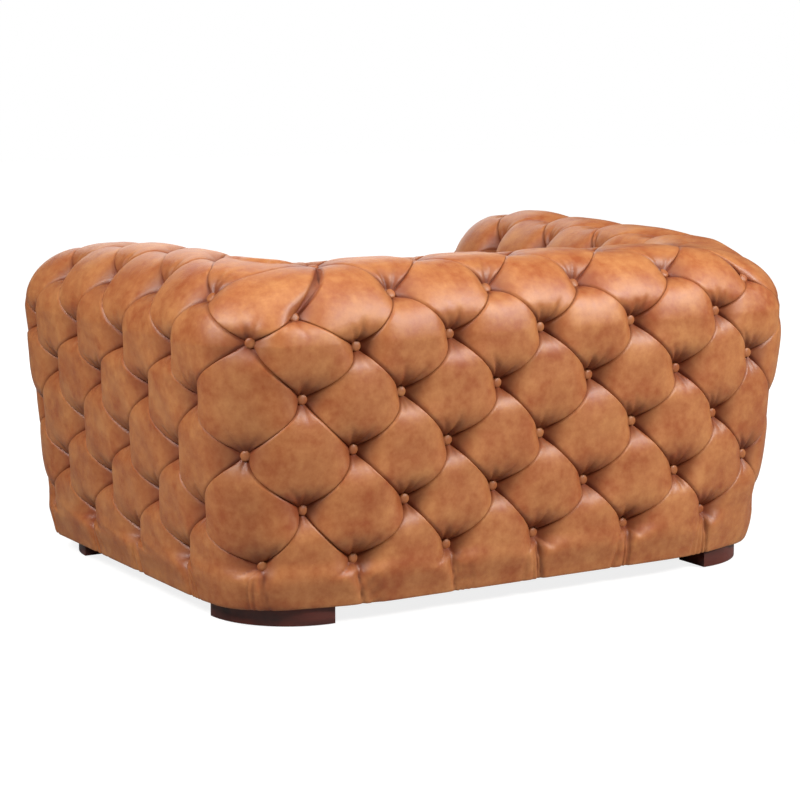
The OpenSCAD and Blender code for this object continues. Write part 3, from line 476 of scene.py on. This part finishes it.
def tufts(a, b, shift, knots, bow, fullness, surface):
    """Leather at lattice places (a, b): points, how deep in a fold each lies, and column, row and swell.
    Whole numbers of a and b are the creases, and the buttons are where these cross."""
    a0, b0 = np.floor(a), np.floor(b)
    x, y = a - a0, b - b0
    # The buttons round a tuft are named as on a compass, and the creases by the two that they join.
    west_i, west_j = 2 * (a0 + b0), 2 * (a0 - b0) - 2 + shift
    corners = {
        "w": (west_i, west_j), "n": (west_i + 2, west_j + 2),
        "s": (west_i + 2, west_j - 2), "e": (west_i + 4, west_j),
    }
    at = {key: knots(*place) for key, place in corners.items()}
    creases = {
        "wn": ("w", "n", -1, 1), "se": ("s", "e", 1, -1), "ws": ("w", "s", -1, -1), "ne": ("n", "e", 1, 1)
    }
    lip, bows = {}, {}
    for key, (start, end, out_i, out_j) in creases.items():
        mid_i = (corners[start][0] + corners[end][0]) / 2
        mid_j = (corners[start][1] + corners[end][1]) / 2
        bow_i, bow_j, lip_i, lip_j = bow(mid_i, mid_j, key in ("wn", "se"))
        lip[key] = (lip_i * out_i + lip_j * out_j) > 0
        play = 1 + 0.3 * (scatter(mid_i, mid_j, 3) - 0.5)
        run = np.abs(at[end][0] - at[start][0])
        bows[key] = (bow_i * play * run, bow_j * play * run)

    def across(key, t, axis):
        """The column or the row at a share of the way along a crease."""
        start, end = (at[corner][axis] for corner in creases[key][:2])
        return start + (end - start) * t + bows[key][axis] * np.sin(math.pi * np.clip(t, 0, 1))

    def rise(t):
        """From 0 at both ends of a crease to 1 halfway."""
        return np.clip(4 * t * (1 - t), 0, 1)

    def shove(t, along):
        """How far the lip is pushed out over the crease beside it, as a share of a crease."""
        gap = t * crease_run / lip_width
        return lip_push / crease_run * gap * np.exp(1 - gap) * step(rise(along), 0.3, 0.85)

    out_x = x - np.where(lip["ws"], shove(x, y), 0) + np.where(lip["ne"], shove(1 - x, y), 0)
    out_y = y - np.where(lip["wn"], shove(y, x), 0) + np.where(lip["se"], shove(1 - y, x), 0)

    def patch(axis):
        """The column or the row of each place in a tuft, as a Coons patch between its four creases."""
        edges = (1 - out_y) * across("wn", out_x, axis) + out_y * across("se", out_x, axis)
        edges = edges + (1 - out_x) * across("ws", out_y, axis) + out_x * across("ne", out_y, axis)
        flat = (1 - out_y) * ((1 - out_x) * at["w"][axis] + out_x * at["n"][axis])
        flat = flat + out_y * ((1 - out_x) * at["s"][axis] + out_x * at["e"][axis])
        return edges - flat

    i, row = patch(0), patch(1)

    def shoulder(t, is_lip):
        """How a tuft rises from one crease: steeply behind the lip, and more slowly on the tucked side."""
        t = np.clip(2 * t, 0, 1)
        return np.where(is_lip, (1 - (1 - t) ** 2.0) ** 0.72, 1 - (1 - t) ** 1.65)

    shoulder_x = np.where(x < 0.5, shoulder(x, lip["ws"]), shoulder(1 - x, lip["ne"]))
    shoulder_y = np.where(y < 0.5, shoulder(y, lip["wn"]), shoulder(1 - y, lip["se"]))
    crease_level = 0.92 * (1 - (1 - rise(x)) * (1 - rise(y))) ** 1.5
    dome = 0.45 * shoulder_x * shoulder_y + 0.55 * np.sin(math.pi * x) * np.sin(math.pi * y)
    level = crease_level + (1 - crease_level) * dome

    def groove(t, along, is_lip):
        """The narrow fold between two tufts, which runs out at the buttons."""
        gap = t * crease_run
        lip_side = 1 - np.sqrt(1 - np.clip(1 - gap / lip_width, 0, 1) ** 2)
        tucked_side = np.clip(1 - gap / tuck_width, 0, 1) ** 1.6
        return crease_depth * step(rise(along), 0.0, 0.35) * np.where(is_lip, lip_side, tucked_side)

    grooves = np.maximum.reduce([
        groove(x, y, lip["ws"]), groove(1 - x, y, lip["ne"]),
        groove(y, x, lip["wn"]), groove(1 - y, x, lip["se"]),
    ])
    full = fullness(i, row)
    plump = 1 + 0.10 * (scatter(a0, b0, 1) - 0.5) * (np.abs(west_i + 2) < tip)
    soft = np.clip(full / full_swell, 0, 1)

    # Gathers: three short pleats that fan up from each button and three that fan down, each at its own slant.
    gathers = 0
    for key, sign in (("s", 1), ("n", -1)):
        knot_i, knot_j = corners[key]
        above = (knot_j > crest_row) != (sign > 0)
        knot_j = np.minimum(knot_j, last_row - knot_j)
        dx = (i - at[key][0]) * column_run
        dy = (row - at[key][1]) * sign * row_run
        for n in range(3):
            luck = [scatter(knot_i, knot_j, 10 * k + n + 4 * above) for k in (1, 2, 3)]
            slant = (luck[0] - 0.5) * 0.7 + (n - 1) * 0.5
            reach = np.where(above, 0.046, 0.030) + 0.026 * luck[1]
            width = 0.0028 + 0.07 * np.clip(dy, 0, 0.1)
            run = step(dy, 0.004, 0.012) * (1 - step(dy, 0.4 * reach, reach))
            size = np.where(above, 0.0070, 0.0034) * (0.35 + 0.65 * luck[2]) * (np.abs(knot_i) < tip)
            gathers = gathers + size * run * np.exp(-((dx - slant * dy) / width) ** 2)
    pit = 0
    for key in corners:
        near = ((i - at[key][0]) * column_run) ** 2 + ((row - at[key][1]) * row_run) ** 2
        pit = pit + np.exp(-near / pit_r ** 2)
    out = full * level * plump - (grooves + gathers + pit_depth * pit) * soft

    # The stuffing under the crowns is a little uneven.
    point, normal = surface(i, row)
    lumps = 0.0011 * np.sin(point @ np.array([31.0, 27.0, 23.0]) + 1.3)
    lumps = lumps * np.sin(point @ np.array([-19.0, 33.0, 41.0]))
    out = out + lumps * level * soft
    # How deep in a fold each point lies, from which the hide's material paints shade into low ground, creases
    # and gathers.
    fold = np.clip(1 - level, 0, 1) + 90 * grooves + 40 * gathers
    return point + normal * out[:, None], np.clip(fold, 0, 1), (i, row, out)


# Mesh lines from one crease to the next, and from the lowest buttons down to the hem.
lines, skirt_rows = ((40, 26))


def lattice_place(index):
    """Whole-number mesh lines to lattice places, crowded towards the creases."""
    cell, k = np.divmod(index, lines)
    t = k / lines
    near = 0.5 * (2 * np.minimum(t, 1 - t)) ** 1.6
    return cell + np.where(t <= 0.5, near, 1 - near)


def diamond_net(spans, shift, dropped=()):
    """Mesh lines along both ways of the lattice, over boxes of columns and rows, cut along its diagonals.
    Gives the indices of its nodes, and faces that turn from column to row."""
    lo_i, hi_i = min(span[0] for span in spans), max(span[1] for span in spans)
    lo_j, hi_j = min(span[2] for span in spans), max(span[3] for span in spans)
    # Whole diamonds that cover the boxes: the division rounds down, and with both minus signs it rounds up.
    a_lo, a_hi = (lo_i + lo_j + 2 - shift) // 4, -(-(hi_i + hi_j + 2 - shift) // 4)
    b_lo, b_hi = (lo_i - hi_j - 2 + shift) // 4, -(-(hi_i - lo_j - 2 + shift) // 4)
    a, b = np.meshgrid(
        np.arange(a_lo * lines, a_hi * lines + 1), np.arange(b_lo * lines, b_hi * lines + 1), indexing="ij"
    )
    i, row = 2 * (a + b), 2 * (a - b) - (2 - shift) * lines
    held = np.zeros(a.shape, bool)
    for left, right, low, high in spans:
        held |= (i >= left * lines) & (i <= right * lines) & (row >= low * lines) & (row <= high * lines)
    number = np.arange(a.size).reshape(a.shape)
    corner = [number[:-1, :-1], number[1:, :-1], number[1:, 1:], number[:-1, 1:]]
    inside = [held[:-1, :-1], held[1:, :-1], held[1:, 1:], held[:-1, 1:]]
    count = sum(c.astype(int) for c in inside)
    cell_a, cell_b = a[:-1, :-1] // lines, b[:-1, :-1] // lines
    kept = np.ones(count.shape, bool)
    for ci, cj in dropped:
        kept &= ~((2 * (cell_a + cell_b) == ci - 2) & (2 * (cell_a - cell_b) - 2 + shift == cj))
    faces = [list(f) for f in np.stack([c[(count == 4) & kept] for c in corner], -1).tolist()]
    for out in range(4):
        three = (count == 3) & kept & ~inside[out]
        rest = [corner[k] for k in range(4) if k != out]
        faces += np.stack([c[three] for c in rest], -1).tolist()
    return a.ravel(), b.ravel(), faces, number, i, row


def renumber(faces, size):
    """Leaves out a net's unused nodes. Gives those in use, the new number of each node, and the faces."""
    used = np.unique(np.fromiter((v for f in faces for v in f), dtype=np.int64))
    fresh = np.full(size, -1)
    fresh[used] = np.arange(used.size)
    return used, fresh, [[int(fresh[v]) for v in f] for f in faces]


def wall_leather(a, b):
    """Leather of the wall. Below the lowest buttons the tufts run out into straight pleats to the hem."""
    point, fold, (i, row, out) = tufts(a, b, 0, wall_knots, wall_bow, wall_fullness, wall_surface)
    i0, row0 = 2 * (a + b), 2 * (a - b) - 2
    j = np.minimum(row0, last_row - row0)
    hem = j < first_row
    pleat = np.round(i0 / 4)
    down = np.clip((first_row - j) / first_row, 0, 1)
    pull, _ = wall_knots(4 * pleat, first_row + 0 * pleat)
    slant = (scatter(pleat, 0 * pleat, 5) - 0.8) * 0.35
    off = (i0 - pull - slant * down ** 1.5) * column_run
    gap = np.where(off < 0, -off * 1.8, off)
    depth = 1 - 0.66 * step(down, 0, 0.7)
    straight = 1 - depth * np.exp(-gap / (0.0045 + 0.024 * (1 - down) ** 2))
    # Three lesser pleats fan out beside the main one, on one side of it.
    for n in range(3):
        fan = 0.007 + 0.010 * n + (0.012 + 0.010 * n) * down * scatter(pleat, n + 0 * pleat, 6)
        size = (0.26 - 0.06 * n) * (0.3 + 0.7 * scatter(pleat, n + 0 * pleat, 7))
        beside = np.where(scatter(pleat, 0 * pleat, 8) > 0.4, off, -off)
        straight = straight - size * step(down, 0.15, 0.5) * np.exp(-(((beside - fan) / 0.0034) ** 2))
    share = step(down, 0.0, 0.45)
    i = np.where(hem, i * (1 - share) + i0 * share, i)
    row = np.where(hem, row * (1 - share) + row0 * share, row)
    base, normal = wall_surface(i, row)
    full = wall_fullness(i, row)
    swell = np.where(hem, (1 - share) * out + share * full * straight, out)
    # Along the hem the painted fold shade follows the pleats.
    fold = np.where(hem, fold * (1 - share) + share * np.clip(1.2 * (1 - straight), 0, 1), fold)
    return np.where(hem[:, None], base + normal * swell[:, None], point), fold


def plan_at(i, d, z):
    """Points of the pads' inner faces, where they meet the timber frame."""
    x, y, _, _ = outline(i, np.full(i.shape, d), np.full(i.shape, 0.002))
    y = np.where(np.abs(i) > front, front_y, y)
    return np.stack([x, y, np.broadcast_to(z, i.shape)], -1)


def build_wall():
    """The whole run of hide with its hem, and the faces behind it round the hollow for the frame."""
    nose_row = last_row - first_row
    spans = [(-front, front, first_row, seat_row)]
    spans += [(front, tip, first_row, nose_row), (-tip, -front, first_row, nose_row)]
    dropped = [(side * column, crest_row) for column in (10, 30) for side in (1, -1)]
    a, b, faces, number, i, row = diamond_net(spans, 0, dropped)
    used, fresh, faces = renumber(faces, a.size)
    points, folds = wall_leather(lattice_place(a[used]), lattice_place(b[used]))
    rows, shades, count = [points], [folds], used.size

    def line(held):
        """Nodes on one line of the net, in order of column."""
        chosen = number[held & (fresh[number] >= 0)]
        return chosen[np.argsort((a + b)[chosen])]

    def columns(nodes):
        """The column of each node, in quarters of a pitch."""
        return 2 * (lattice_place(a[nodes]) + lattice_place(b[nodes]))

    def add(new_points, new_folds):
        """Adds points to the mesh and gives their numbers."""
        nonlocal count
        rows.append(new_points)
        shades.append(new_folds)
        count += len(new_points)
        return np.arange(count - len(new_points), count)

    def strip(upper, lower, flip=False):
        """Joins two rows of points with faces."""
        for k in range(len(upper) - 1):
            quad = [int(upper[k + 1]), int(lower[k + 1]), int(lower[k]), int(upper[k])]
            faces.append(quad[::-1] if flip else quad)

    def hem_rows(nodes, inner):
        """Rows of the skirt below the lowest buttons: the last one, all of them, and their columns."""
        i0 = columns(nodes)
        above = fresh[nodes]
        edge = []
        for k in range(1, skirt_rows + 1):
            j = first_row * (1 - math.sin(math.pi / 2 * k / skirt_rows))
            r = last_row - j if inner else j
            new = add(*wall_leather((i0 + r + 2) / 4, (i0 - r - 2) / 4))
            strip(above, new, flip=inner)
            above = new
            edge.append(new)
        return above, edge, i0

    # Outside: the skirt down to the hem, and behind it the hollow's outer face up to its roof.
    outer = line((row == first_row * lines) & (np.abs(i) <= tip * lines))
    above, _, i0 = hem_rows(outer, False)
    # The faces round the hollow take the darkest painted fold shade.
    foot = add(plan_at(i0, outer_hollow, hem_z), np.ones(len(i0)))
    strip(above, foot)
    keep = np.abs(i0) <= front + 1e-9
    top = add(plan_at(i0[keep], outer_hollow, hollow_top), np.ones(keep.sum()))
    strip(foot[keep], top)
    # Inside: the shelf under the leather's lower edge, and the hollow's inner face up to its roof.
    inner = line((row == seat_row * lines) & (np.abs(i) <= front * lines))
    i_in = columns(inner)
    z = np.concatenate(rows)[fresh[inner]][:, 2]
    shelf = add(plan_at(i_in, wall_thick - hollow, z), np.ones(len(i_in)))
    strip(fresh[inner], shelf, flip=True)
    roof = add(plan_at(i_in, wall_thick - hollow, hollow_top), np.ones(len(i_in)))
    strip(shelf, roof, flip=True)
    strip(top, roof)
    # Arm fronts: the inner half of the skirt round each tip.
    for side in (-1, 1):
        nose = line((row == nose_row * lines) & (side * i >= front * lines))
        above, edge, i0 = hem_rows(nose, True)
        foot = add(plan_at(i0, wall_thick - hollow, hem_z), np.ones(len(i0)))
        strip(above, foot, flip=True)
        # The inside of the arm's front ends at the seat, where its edge turns in to the frame.
        column = number[(i == side * front * lines) & (row >= seat_row * lines) & (row <= nose_row * lines)]
        column = column[np.argsort((a - b)[column])]
        last = 0 if side > 0 else -1
        edge_nodes = np.concatenate([fresh[column], [e[last] for e in edge]])
        z = np.concatenate(rows)[edge_nodes][:, 2]
        x = np.full(len(z), side * (half_w - wall_thick + hollow))
        back_edge = add(np.stack([x, np.full(len(z), front_y), z], -1), np.ones(len(z)))
        strip(edge_nodes, back_edge, flip=side > 0)
    return np.concatenate(rows), np.concatenate(shades), faces


def new_mesh(name, points, folds, faces):
    """A mesh that also holds how deep in a fold each point lies, for the hide's painted fold shade."""
    mesh = bpy.data.meshes.new(name)
    mesh.from_pydata(points.tolist(), [], faces)
    layer = mesh.attributes.new("fold", "FLOAT", "POINT")
    layer.data.foreach_set("value", folds.astype(np.float32))
    return mesh


def finish_pad(piece, node):
    """Hide on a pad, which stands for one upholstery solid and is partly stuffing."""
    piece.data.materials.clear()
    piece.data.materials.append(hide.material)
    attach(piece, "root")
    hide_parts(node)


# The run is sewn along the two rear mitres, so it is cut there into the back's cover and the arms' covers.
# Each keeps the run's own normals, so the hide looks unbroken across the seams.
weld, speck = 0.00002, 0.00001
run = bmesh.new()
run.from_mesh(new_mesh("run_of_hide", *build_wall()))
bmesh.ops.remove_doubles(run, verts=run.verts, dist=weld)
bmesh.ops.dissolve_degenerate(run, dist=speck, edges=run.edges)
bmesh.ops.holes_fill(run, edges=[e for e in run.edges if e.is_boundary], sides=0)
mitre_x = half_w - half_d
for across in (-1, 1):
    bmesh.ops.bisect_plane(
        run, geom=run.verts[:] + run.edges[:] + run.faces[:], dist=speck,
        plane_co=(across * mitre_x, 0, 0), plane_no=(across, -1, 0)
    )
run.normal_update()
bend = run.verts.layers.float_vector.new("bend")
for v in run.verts:
    v[bend] = v.normal
for side, holds in (
    ("back", lambda c: abs(c.x) - c.y < mitre_x),
    ("left_arm", lambda c: c.x - c.y > mitre_x),
    ("right_arm", lambda c: -c.x - c.y > mitre_x),
):
    cut = run.copy()
    bmesh.ops.delete(cut, geom=[f for f in cut.faces if not holds(f.calc_center_median())], context="FACES")
    bmesh.ops.holes_fill(cut, edges=[e for e in cut.edges if e.is_boundary], sides=0)
    mesh = bpy.data.meshes.new(side + "_leather")
    cut.to_mesh(mesh)
    cut.free()
    mesh.shade_smooth()
    normals = np.zeros(len(mesh.vertices) * 3, np.float32)
    mesh.attributes["bend"].data.foreach_get("vector", normals)
    mesh.normals_split_custom_set_from_vertices(normals.reshape(-1, 3).tolist())
    mesh.attributes.remove(mesh.attributes["bend"])
    finish_pad(add_object(side + "_leather", mesh), side + "_upholstery")
run.free()

# Seat: one fixed pad of foam under hide, buttoned on the same diamonds, with a rounded front edge.
# Its pleats are laid towards the front. Its sides and rear are pulled down against the arms and the back.
seat_x, seat_rear, seat_front = 0.4297, 0.2547, -0.485
seat_front_x, seat_edge = 0.4689, 0.060
seat_button_z, seat_foot_z = 0.410, 0.345
seat_columns, seat_rows, seat_edge_rows = 8, 14, 2
seat_step = (seat_rear - seat_front - seat_edge) / (seat_rows - seat_edge_rows)
panel_swell, panel_bow = 0.030, 0.10


def seat_surface(i, row):
    """Point and outward normal on the smooth seat, whose first two rows turn up over its front edge."""
    turn = np.radians(90 / seat_edge_rows * np.clip(row, 0, seat_edge_rows))
    wide = np.interp(row, [0, seat_edge_rows], [seat_front_x, seat_x])
    y = seat_front + seat_edge * (1 - np.cos(turn)) + np.maximum(0, row - seat_edge_rows) * seat_step
    z = seat_button_z - seat_edge + seat_edge * np.sin(turn)
    point = np.stack([i / seat_columns * wide, y, z], -1)
    zero = np.zeros_like(turn)
    return point, np.stack([zero, -np.cos(turn), np.sin(turn)], -1)


def seat_fullness(i, row):
    """How far a full tuft stands out, less along the seat's edges."""
    rim = step(seat_columns - np.abs(i), 0, 1.6) * step(seat_rows - row, 0, 1.6) * step(row, 0, 1.6)
    return panel_swell * (0.12 + 0.88 * rim)


def sag(bowed):
    """Bows for a panel's creases, which sag in the rows that are bowed. All lips are laid the same way."""
    def bow(i, row, rising):
        zero = np.zeros_like(i)
        return zero, np.where(bowed(row), -panel_bow, 0), zero, zero - 1
    return bow


def steady(i, row):
    """Buttons that keep their places."""
    return i, row


def build_panel(name, spans, shift, bow, fullness, surface, close):
    """A buttoned panel as a closed pad: its tufted face, and the flat sides and back behind it."""
    a, b, faces, *_ = diamond_net(spans, shift)
    used, _, faces = renumber(faces, a.size)
    a, b = lattice_place(a[used]), lattice_place(b[used])
    points, folds, _ = tufts(a, b, shift, steady, bow, fullness, surface)
    mesh = new_mesh(name, points, folds, [face[::-1] for face in faces])
    panel = bmesh.new()
    panel.from_mesh(mesh)
    bmesh.ops.remove_doubles(panel, verts=panel.verts, dist=weld)
    rim = [e for e in panel.edges if e.is_boundary]
    for part_of_rim in bmesh.ops.extrude_edge_only(panel, edges=rim)["geom"]:
        if isinstance(part_of_rim, bmesh.types.BMVert):
            close(part_of_rim.co)
    bmesh.ops.remove_doubles(panel, verts=panel.verts, dist=weld)
    bmesh.ops.holes_fill(panel, edges=[e for e in panel.edges if e.is_boundary], sides=0)
    bmesh.ops.recalc_face_normals(panel, faces=panel.faces)
    panel.to_mesh(mesh)
    panel.free()
    mesh.shade_smooth()
    return add_object(name, mesh)


def seat_close(place):
    place.z = seat_foot_z


seat_bow = sag(lambda row: (row > 1) & (row < seat_rows - 1))
seat_span = [(-seat_columns, seat_columns, 0, seat_rows)]
seat = build_panel("seat_leather", seat_span, 2, seat_bow, seat_fullness, seat_surface, seat_close)
finish_pad(seat, "seat_upholstery")

# Front border: the buttoned panel under the seat's front edge, between the two arm fronts.
# It is one row and a half of diamonds deep, and its hem turns in under the base.
border_rows, border_foam = 6, 0.040
border_top = seat_foot_z - 0.0003
turn_z, turn_in = 0.080, 0.014


def border_surface(i, row):
    """Point and outward normal on the smooth border, whose hem turns in below turn_z."""
    z = np.interp(row, [0, first_row, border_rows], [hem_z, first_z, border_top])
    under = np.clip((turn_z - z) / (turn_z - hem_z), 0, 1)
    tuck = turn_in * (1 - np.sqrt(1 - under ** 2))
    point = np.stack([i / seat_columns * seat_front_x, seat_front + tuck, z], -1)
    zero = np.zeros_like(z)
    return point, np.stack([zero, zero - 1, zero], -1)


def border_fullness(i, row):
    """How far a full tuft stands out, less along the border's edges."""
    top = 0.15 + 0.85 * step(border_rows - row, 0, 1.2)
    return panel_swell * step(seat_columns - np.abs(i), 0, 1.4) * top * step(row, 0, 1.5)


def border_close(place):
    place.y = seat_front + border_foam


border_bow = sag(lambda row: row == border_rows / 2)
border_span = [(-seat_columns, seat_columns, 0, border_rows)]
border = build_panel(
    "border_leather", border_span, 0, border_bow, border_fullness, border_surface, border_close
)
finish_pad(border, "front_border")

# Buttons: 20 mm domes pressed up in the same hide, each drawn down into its tuft on twine.
# One is modelled and copied, with its edge rolled under and a little play in how it sits.
button_hide = hide_finish("button_hide", on_buttons=True)


def model_button():
    """One button, standing on the origin: its points and its faces."""
    radius, height = 0.0104, 0.0056
    bpy.ops.object.select_all(action="DESELECT")
    bpy.ops.mesh.primitive_cylinder_add(vertices=20, radius=radius, depth=height, location=(0, 0, height / 2))
    button = bpy.context.active_object
    bpy.ops.object.mode_set(mode="EDIT")
    bpy.ops.mesh.select_all(action="DESELECT")
    shape = bmesh.from_edit_mesh(button.data)
    for f in shape.faces:
        f.select = f.normal.z > 0.9
    bmesh.update_edit_mesh(button.data)
    for thickness, depth in ((0.0012, 0.0012), (0.0022, 0.0009), (0.0028, 0.0005)):
        bpy.ops.mesh.inset(thickness=thickness, depth=depth)
    bpy.ops.mesh.poke(offset=0.0001)
    bpy.ops.mesh.select_all(action="DESELECT")
    shape = bmesh.from_edit_mesh(button.data)
    for f in shape.faces:
        f.select = f.normal.z < -0.9
    bmesh.update_edit_mesh(button.data)
    bpy.ops.mesh.inset(thickness=0.0016, depth=0.0008)
    bpy.ops.object.mode_set(mode="OBJECT")
    edge = button.modifiers.new("rolled_edge", "BEVEL")
    edge.width = 0.0009
    edge.segments = 2
    edge.angle_limit = math.radians(50)
    bpy.ops.object.modifier_apply(modifier="rolled_edge")
    points = np.array([v.co for v in button.data.vertices])
    faces = [list(f.vertices) for f in button.data.polygons]
    bpy.data.objects.remove(button)
    return points, faces


button_points, button_faces = model_button()


def set_buttons(name, node, places, surface, knots=steady):
    """Copies the button to each place (column, row) of a lattice, sunk a little and a little askew."""
    points, faces = [], []
    sunk, askew = 0.0015, 0.10
    for n, (i, row) in enumerate(places):
        i, row = knots(np.array([float(i)]), np.array([float(row)]))
        centre, way = surface(i, row)
        way = Vector(way[0])
        way.x += askew * float(scatter(n, 1, 7) - 0.5)
        way.z += askew * float(scatter(n, 2, 7) - 0.5)
        turned = way.to_track_quat("Z", "Y").to_matrix()
        placed = button_points @ np.array(turned).T + centre[0] - np.array(way.normalized()) * sunk
        faces += [[v + n * len(button_points) for v in f] for f in button_faces]
        points.append(placed)
    mesh = bpy.data.meshes.new(name)
    mesh.from_pydata(np.concatenate(points).tolist(), [], faces)
    mesh.shade_smooth()
    mesh.materials.append(button_hide.material)
    piece = add_object(name, mesh)
    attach(piece, "root")
    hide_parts(node)


def has_button(i, row):
    """Whether the wall has a button there: on every crossing outside and on the crest, but for its corners,
    and on the inside only above the seat and clear of the inner corners."""
    column = abs(i)
    if (column + row + 2) % 4:
        return False
    if row == crest_row:
        return column != mitre and column <= front
    return row < crest_row or (row <= last_row - shoulder_row and column < tip and not 8 <= column <= 16)


wall_rows = range(first_row, last_row - shoulder_row + 1, 2)
wall_places = [(i, row) for i in range(-tip, tip + 1, 2) for row in wall_rows if has_button(i, row)]
for side, holds in (
    ("back", lambda i: abs(i) <= mitre),
    ("left_arm", lambda i: i > mitre),
    ("right_arm", lambda i: i < -mitre),
):
    places = [place for place in wall_places if holds(place[0])]
    set_buttons(side + "_covered_buttons", side + "_buttons", places, wall_surface, wall_knots)
panel_columns = range(2 - seat_columns, seat_columns, 2)
seat_places = [(i, row) for i in panel_columns for row in range(2, seat_rows, 2) if (abs(i) + row) % 4 == 0]
set_buttons("seat_covered_buttons", "seat_buttons", seat_places, seat_surface)
border_places = [(i, row) for i in panel_columns for row in (2, 4) if (abs(i) + row + 2) % 4 == 0]
set_buttons("border_covered_buttons", "front_border_buttons", border_places, border_surface)

# Studio: a pale floor and an even sky, which show white to the camera, while the floor takes the shadow.
# Four soft lamps stand high on the right of the view, overhead, at the left and low in front of the seat.
bpy.ops.object.select_all(action="DESELECT")
bpy.ops.mesh.primitive_plane_add(size=40, location=(0, 0, 0))
floor = bpy.context.active_object
floor.name = "studio_floor"
ground = Finish("studio_floor", Roughness=0.9)
ground.set("Base Color", (0.26, 0.26, 0.26))
seen = ground.add("ShaderNodeLightPath", output="Is Camera Ray")
away = ground.add("ShaderNodeVectorMath", {"operation": "LENGTH"}, {0: pattern_place(ground)}, output=1)
ground.set("Emission Color", (1.0, 1.0, 1.0))
ground.set("Emission Strength", seen * remap(ground, away, 1.0, 3.2, 0.84, 1.0, "SMOOTHSTEP"))
floor.data.materials.append(ground.material)

world = bpy.data.worlds.new("studio_sky")
bpy.context.scene.world = world
world.use_nodes = True
sky = world.node_tree
light_path = sky.nodes.new("ShaderNodeLightPath")
plain, white = sky.nodes["Background"], sky.nodes.new("ShaderNodeBackground")
plain.inputs["Color"].default_value = (1.0, 0.99, 0.97, 1)
plain.inputs["Strength"].default_value = 0.13
white.inputs["Color"].default_value = (1, 1, 1, 1)
white.inputs["Strength"].default_value = 1.0
choose = sky.nodes.new("ShaderNodeMixShader")
sky.links.new(light_path.outputs["Is Camera Ray"], choose.inputs[0])
sky.links.new(plain.outputs[0], choose.inputs[1])
sky.links.new(white.outputs[0], choose.inputs[2])
sky.links.new(choose.outputs[0], sky.nodes["World Output"].inputs["Surface"])


def lamp(name, place, aim, size, power, colour):
    """A square soft box, aimed at a point."""
    data = bpy.data.lights.new(name, "AREA")
    data.shape, data.size, data.energy, data.color = "SQUARE", size, power, colour
    light = add_object(name, data)
    light.location = place
    light.rotation_euler = (Vector(aim) - Vector(place)).to_track_quat("-Z", "Y").to_euler()


lamp("key_lamp", (-2.4, 3.9, 3.3), (0, 0, 0.40), 1.3, 308, (1.0, 0.99, 0.96))
lamp("top_lamp", (0.3, 0.9, 3.6), (0, 0, 0.3), 2.0, 28, (1.0, 0.99, 0.97))
lamp("side_lamp", (3.6, 0.9, 3.0), (0, 0, 0.4), 1.2, 165, (1.0, 0.99, 0.97))
lamp("far_lamp", (-1.2, -3.6, 2.0), (0, 0, 0.5), 2.8, 45, (1.0, 0.99, 0.97))

# Camera: low behind the sitter's left shoulder, looking along the back towards the far arm.
# It looks a little down, along a heading given as its share of X and Y.
dip = math.radians(8.69)
look = Vector((-0.5216 * math.cos(dip), -0.8532 * math.cos(dip), -math.sin(dip)))
eye = bpy.data.cameras.new("view")
eye.lens, eye.sensor_width = 96.84, 36
camera = add_object("view", eye)
camera.location = (2.47, 4.02, 1.061)
camera.rotation_euler = look.to_track_quat("-Z", "Y").to_euler()
bpy.context.scene.camera = camera
bpy.context.scene.view_settings.view_transform = "Standard"
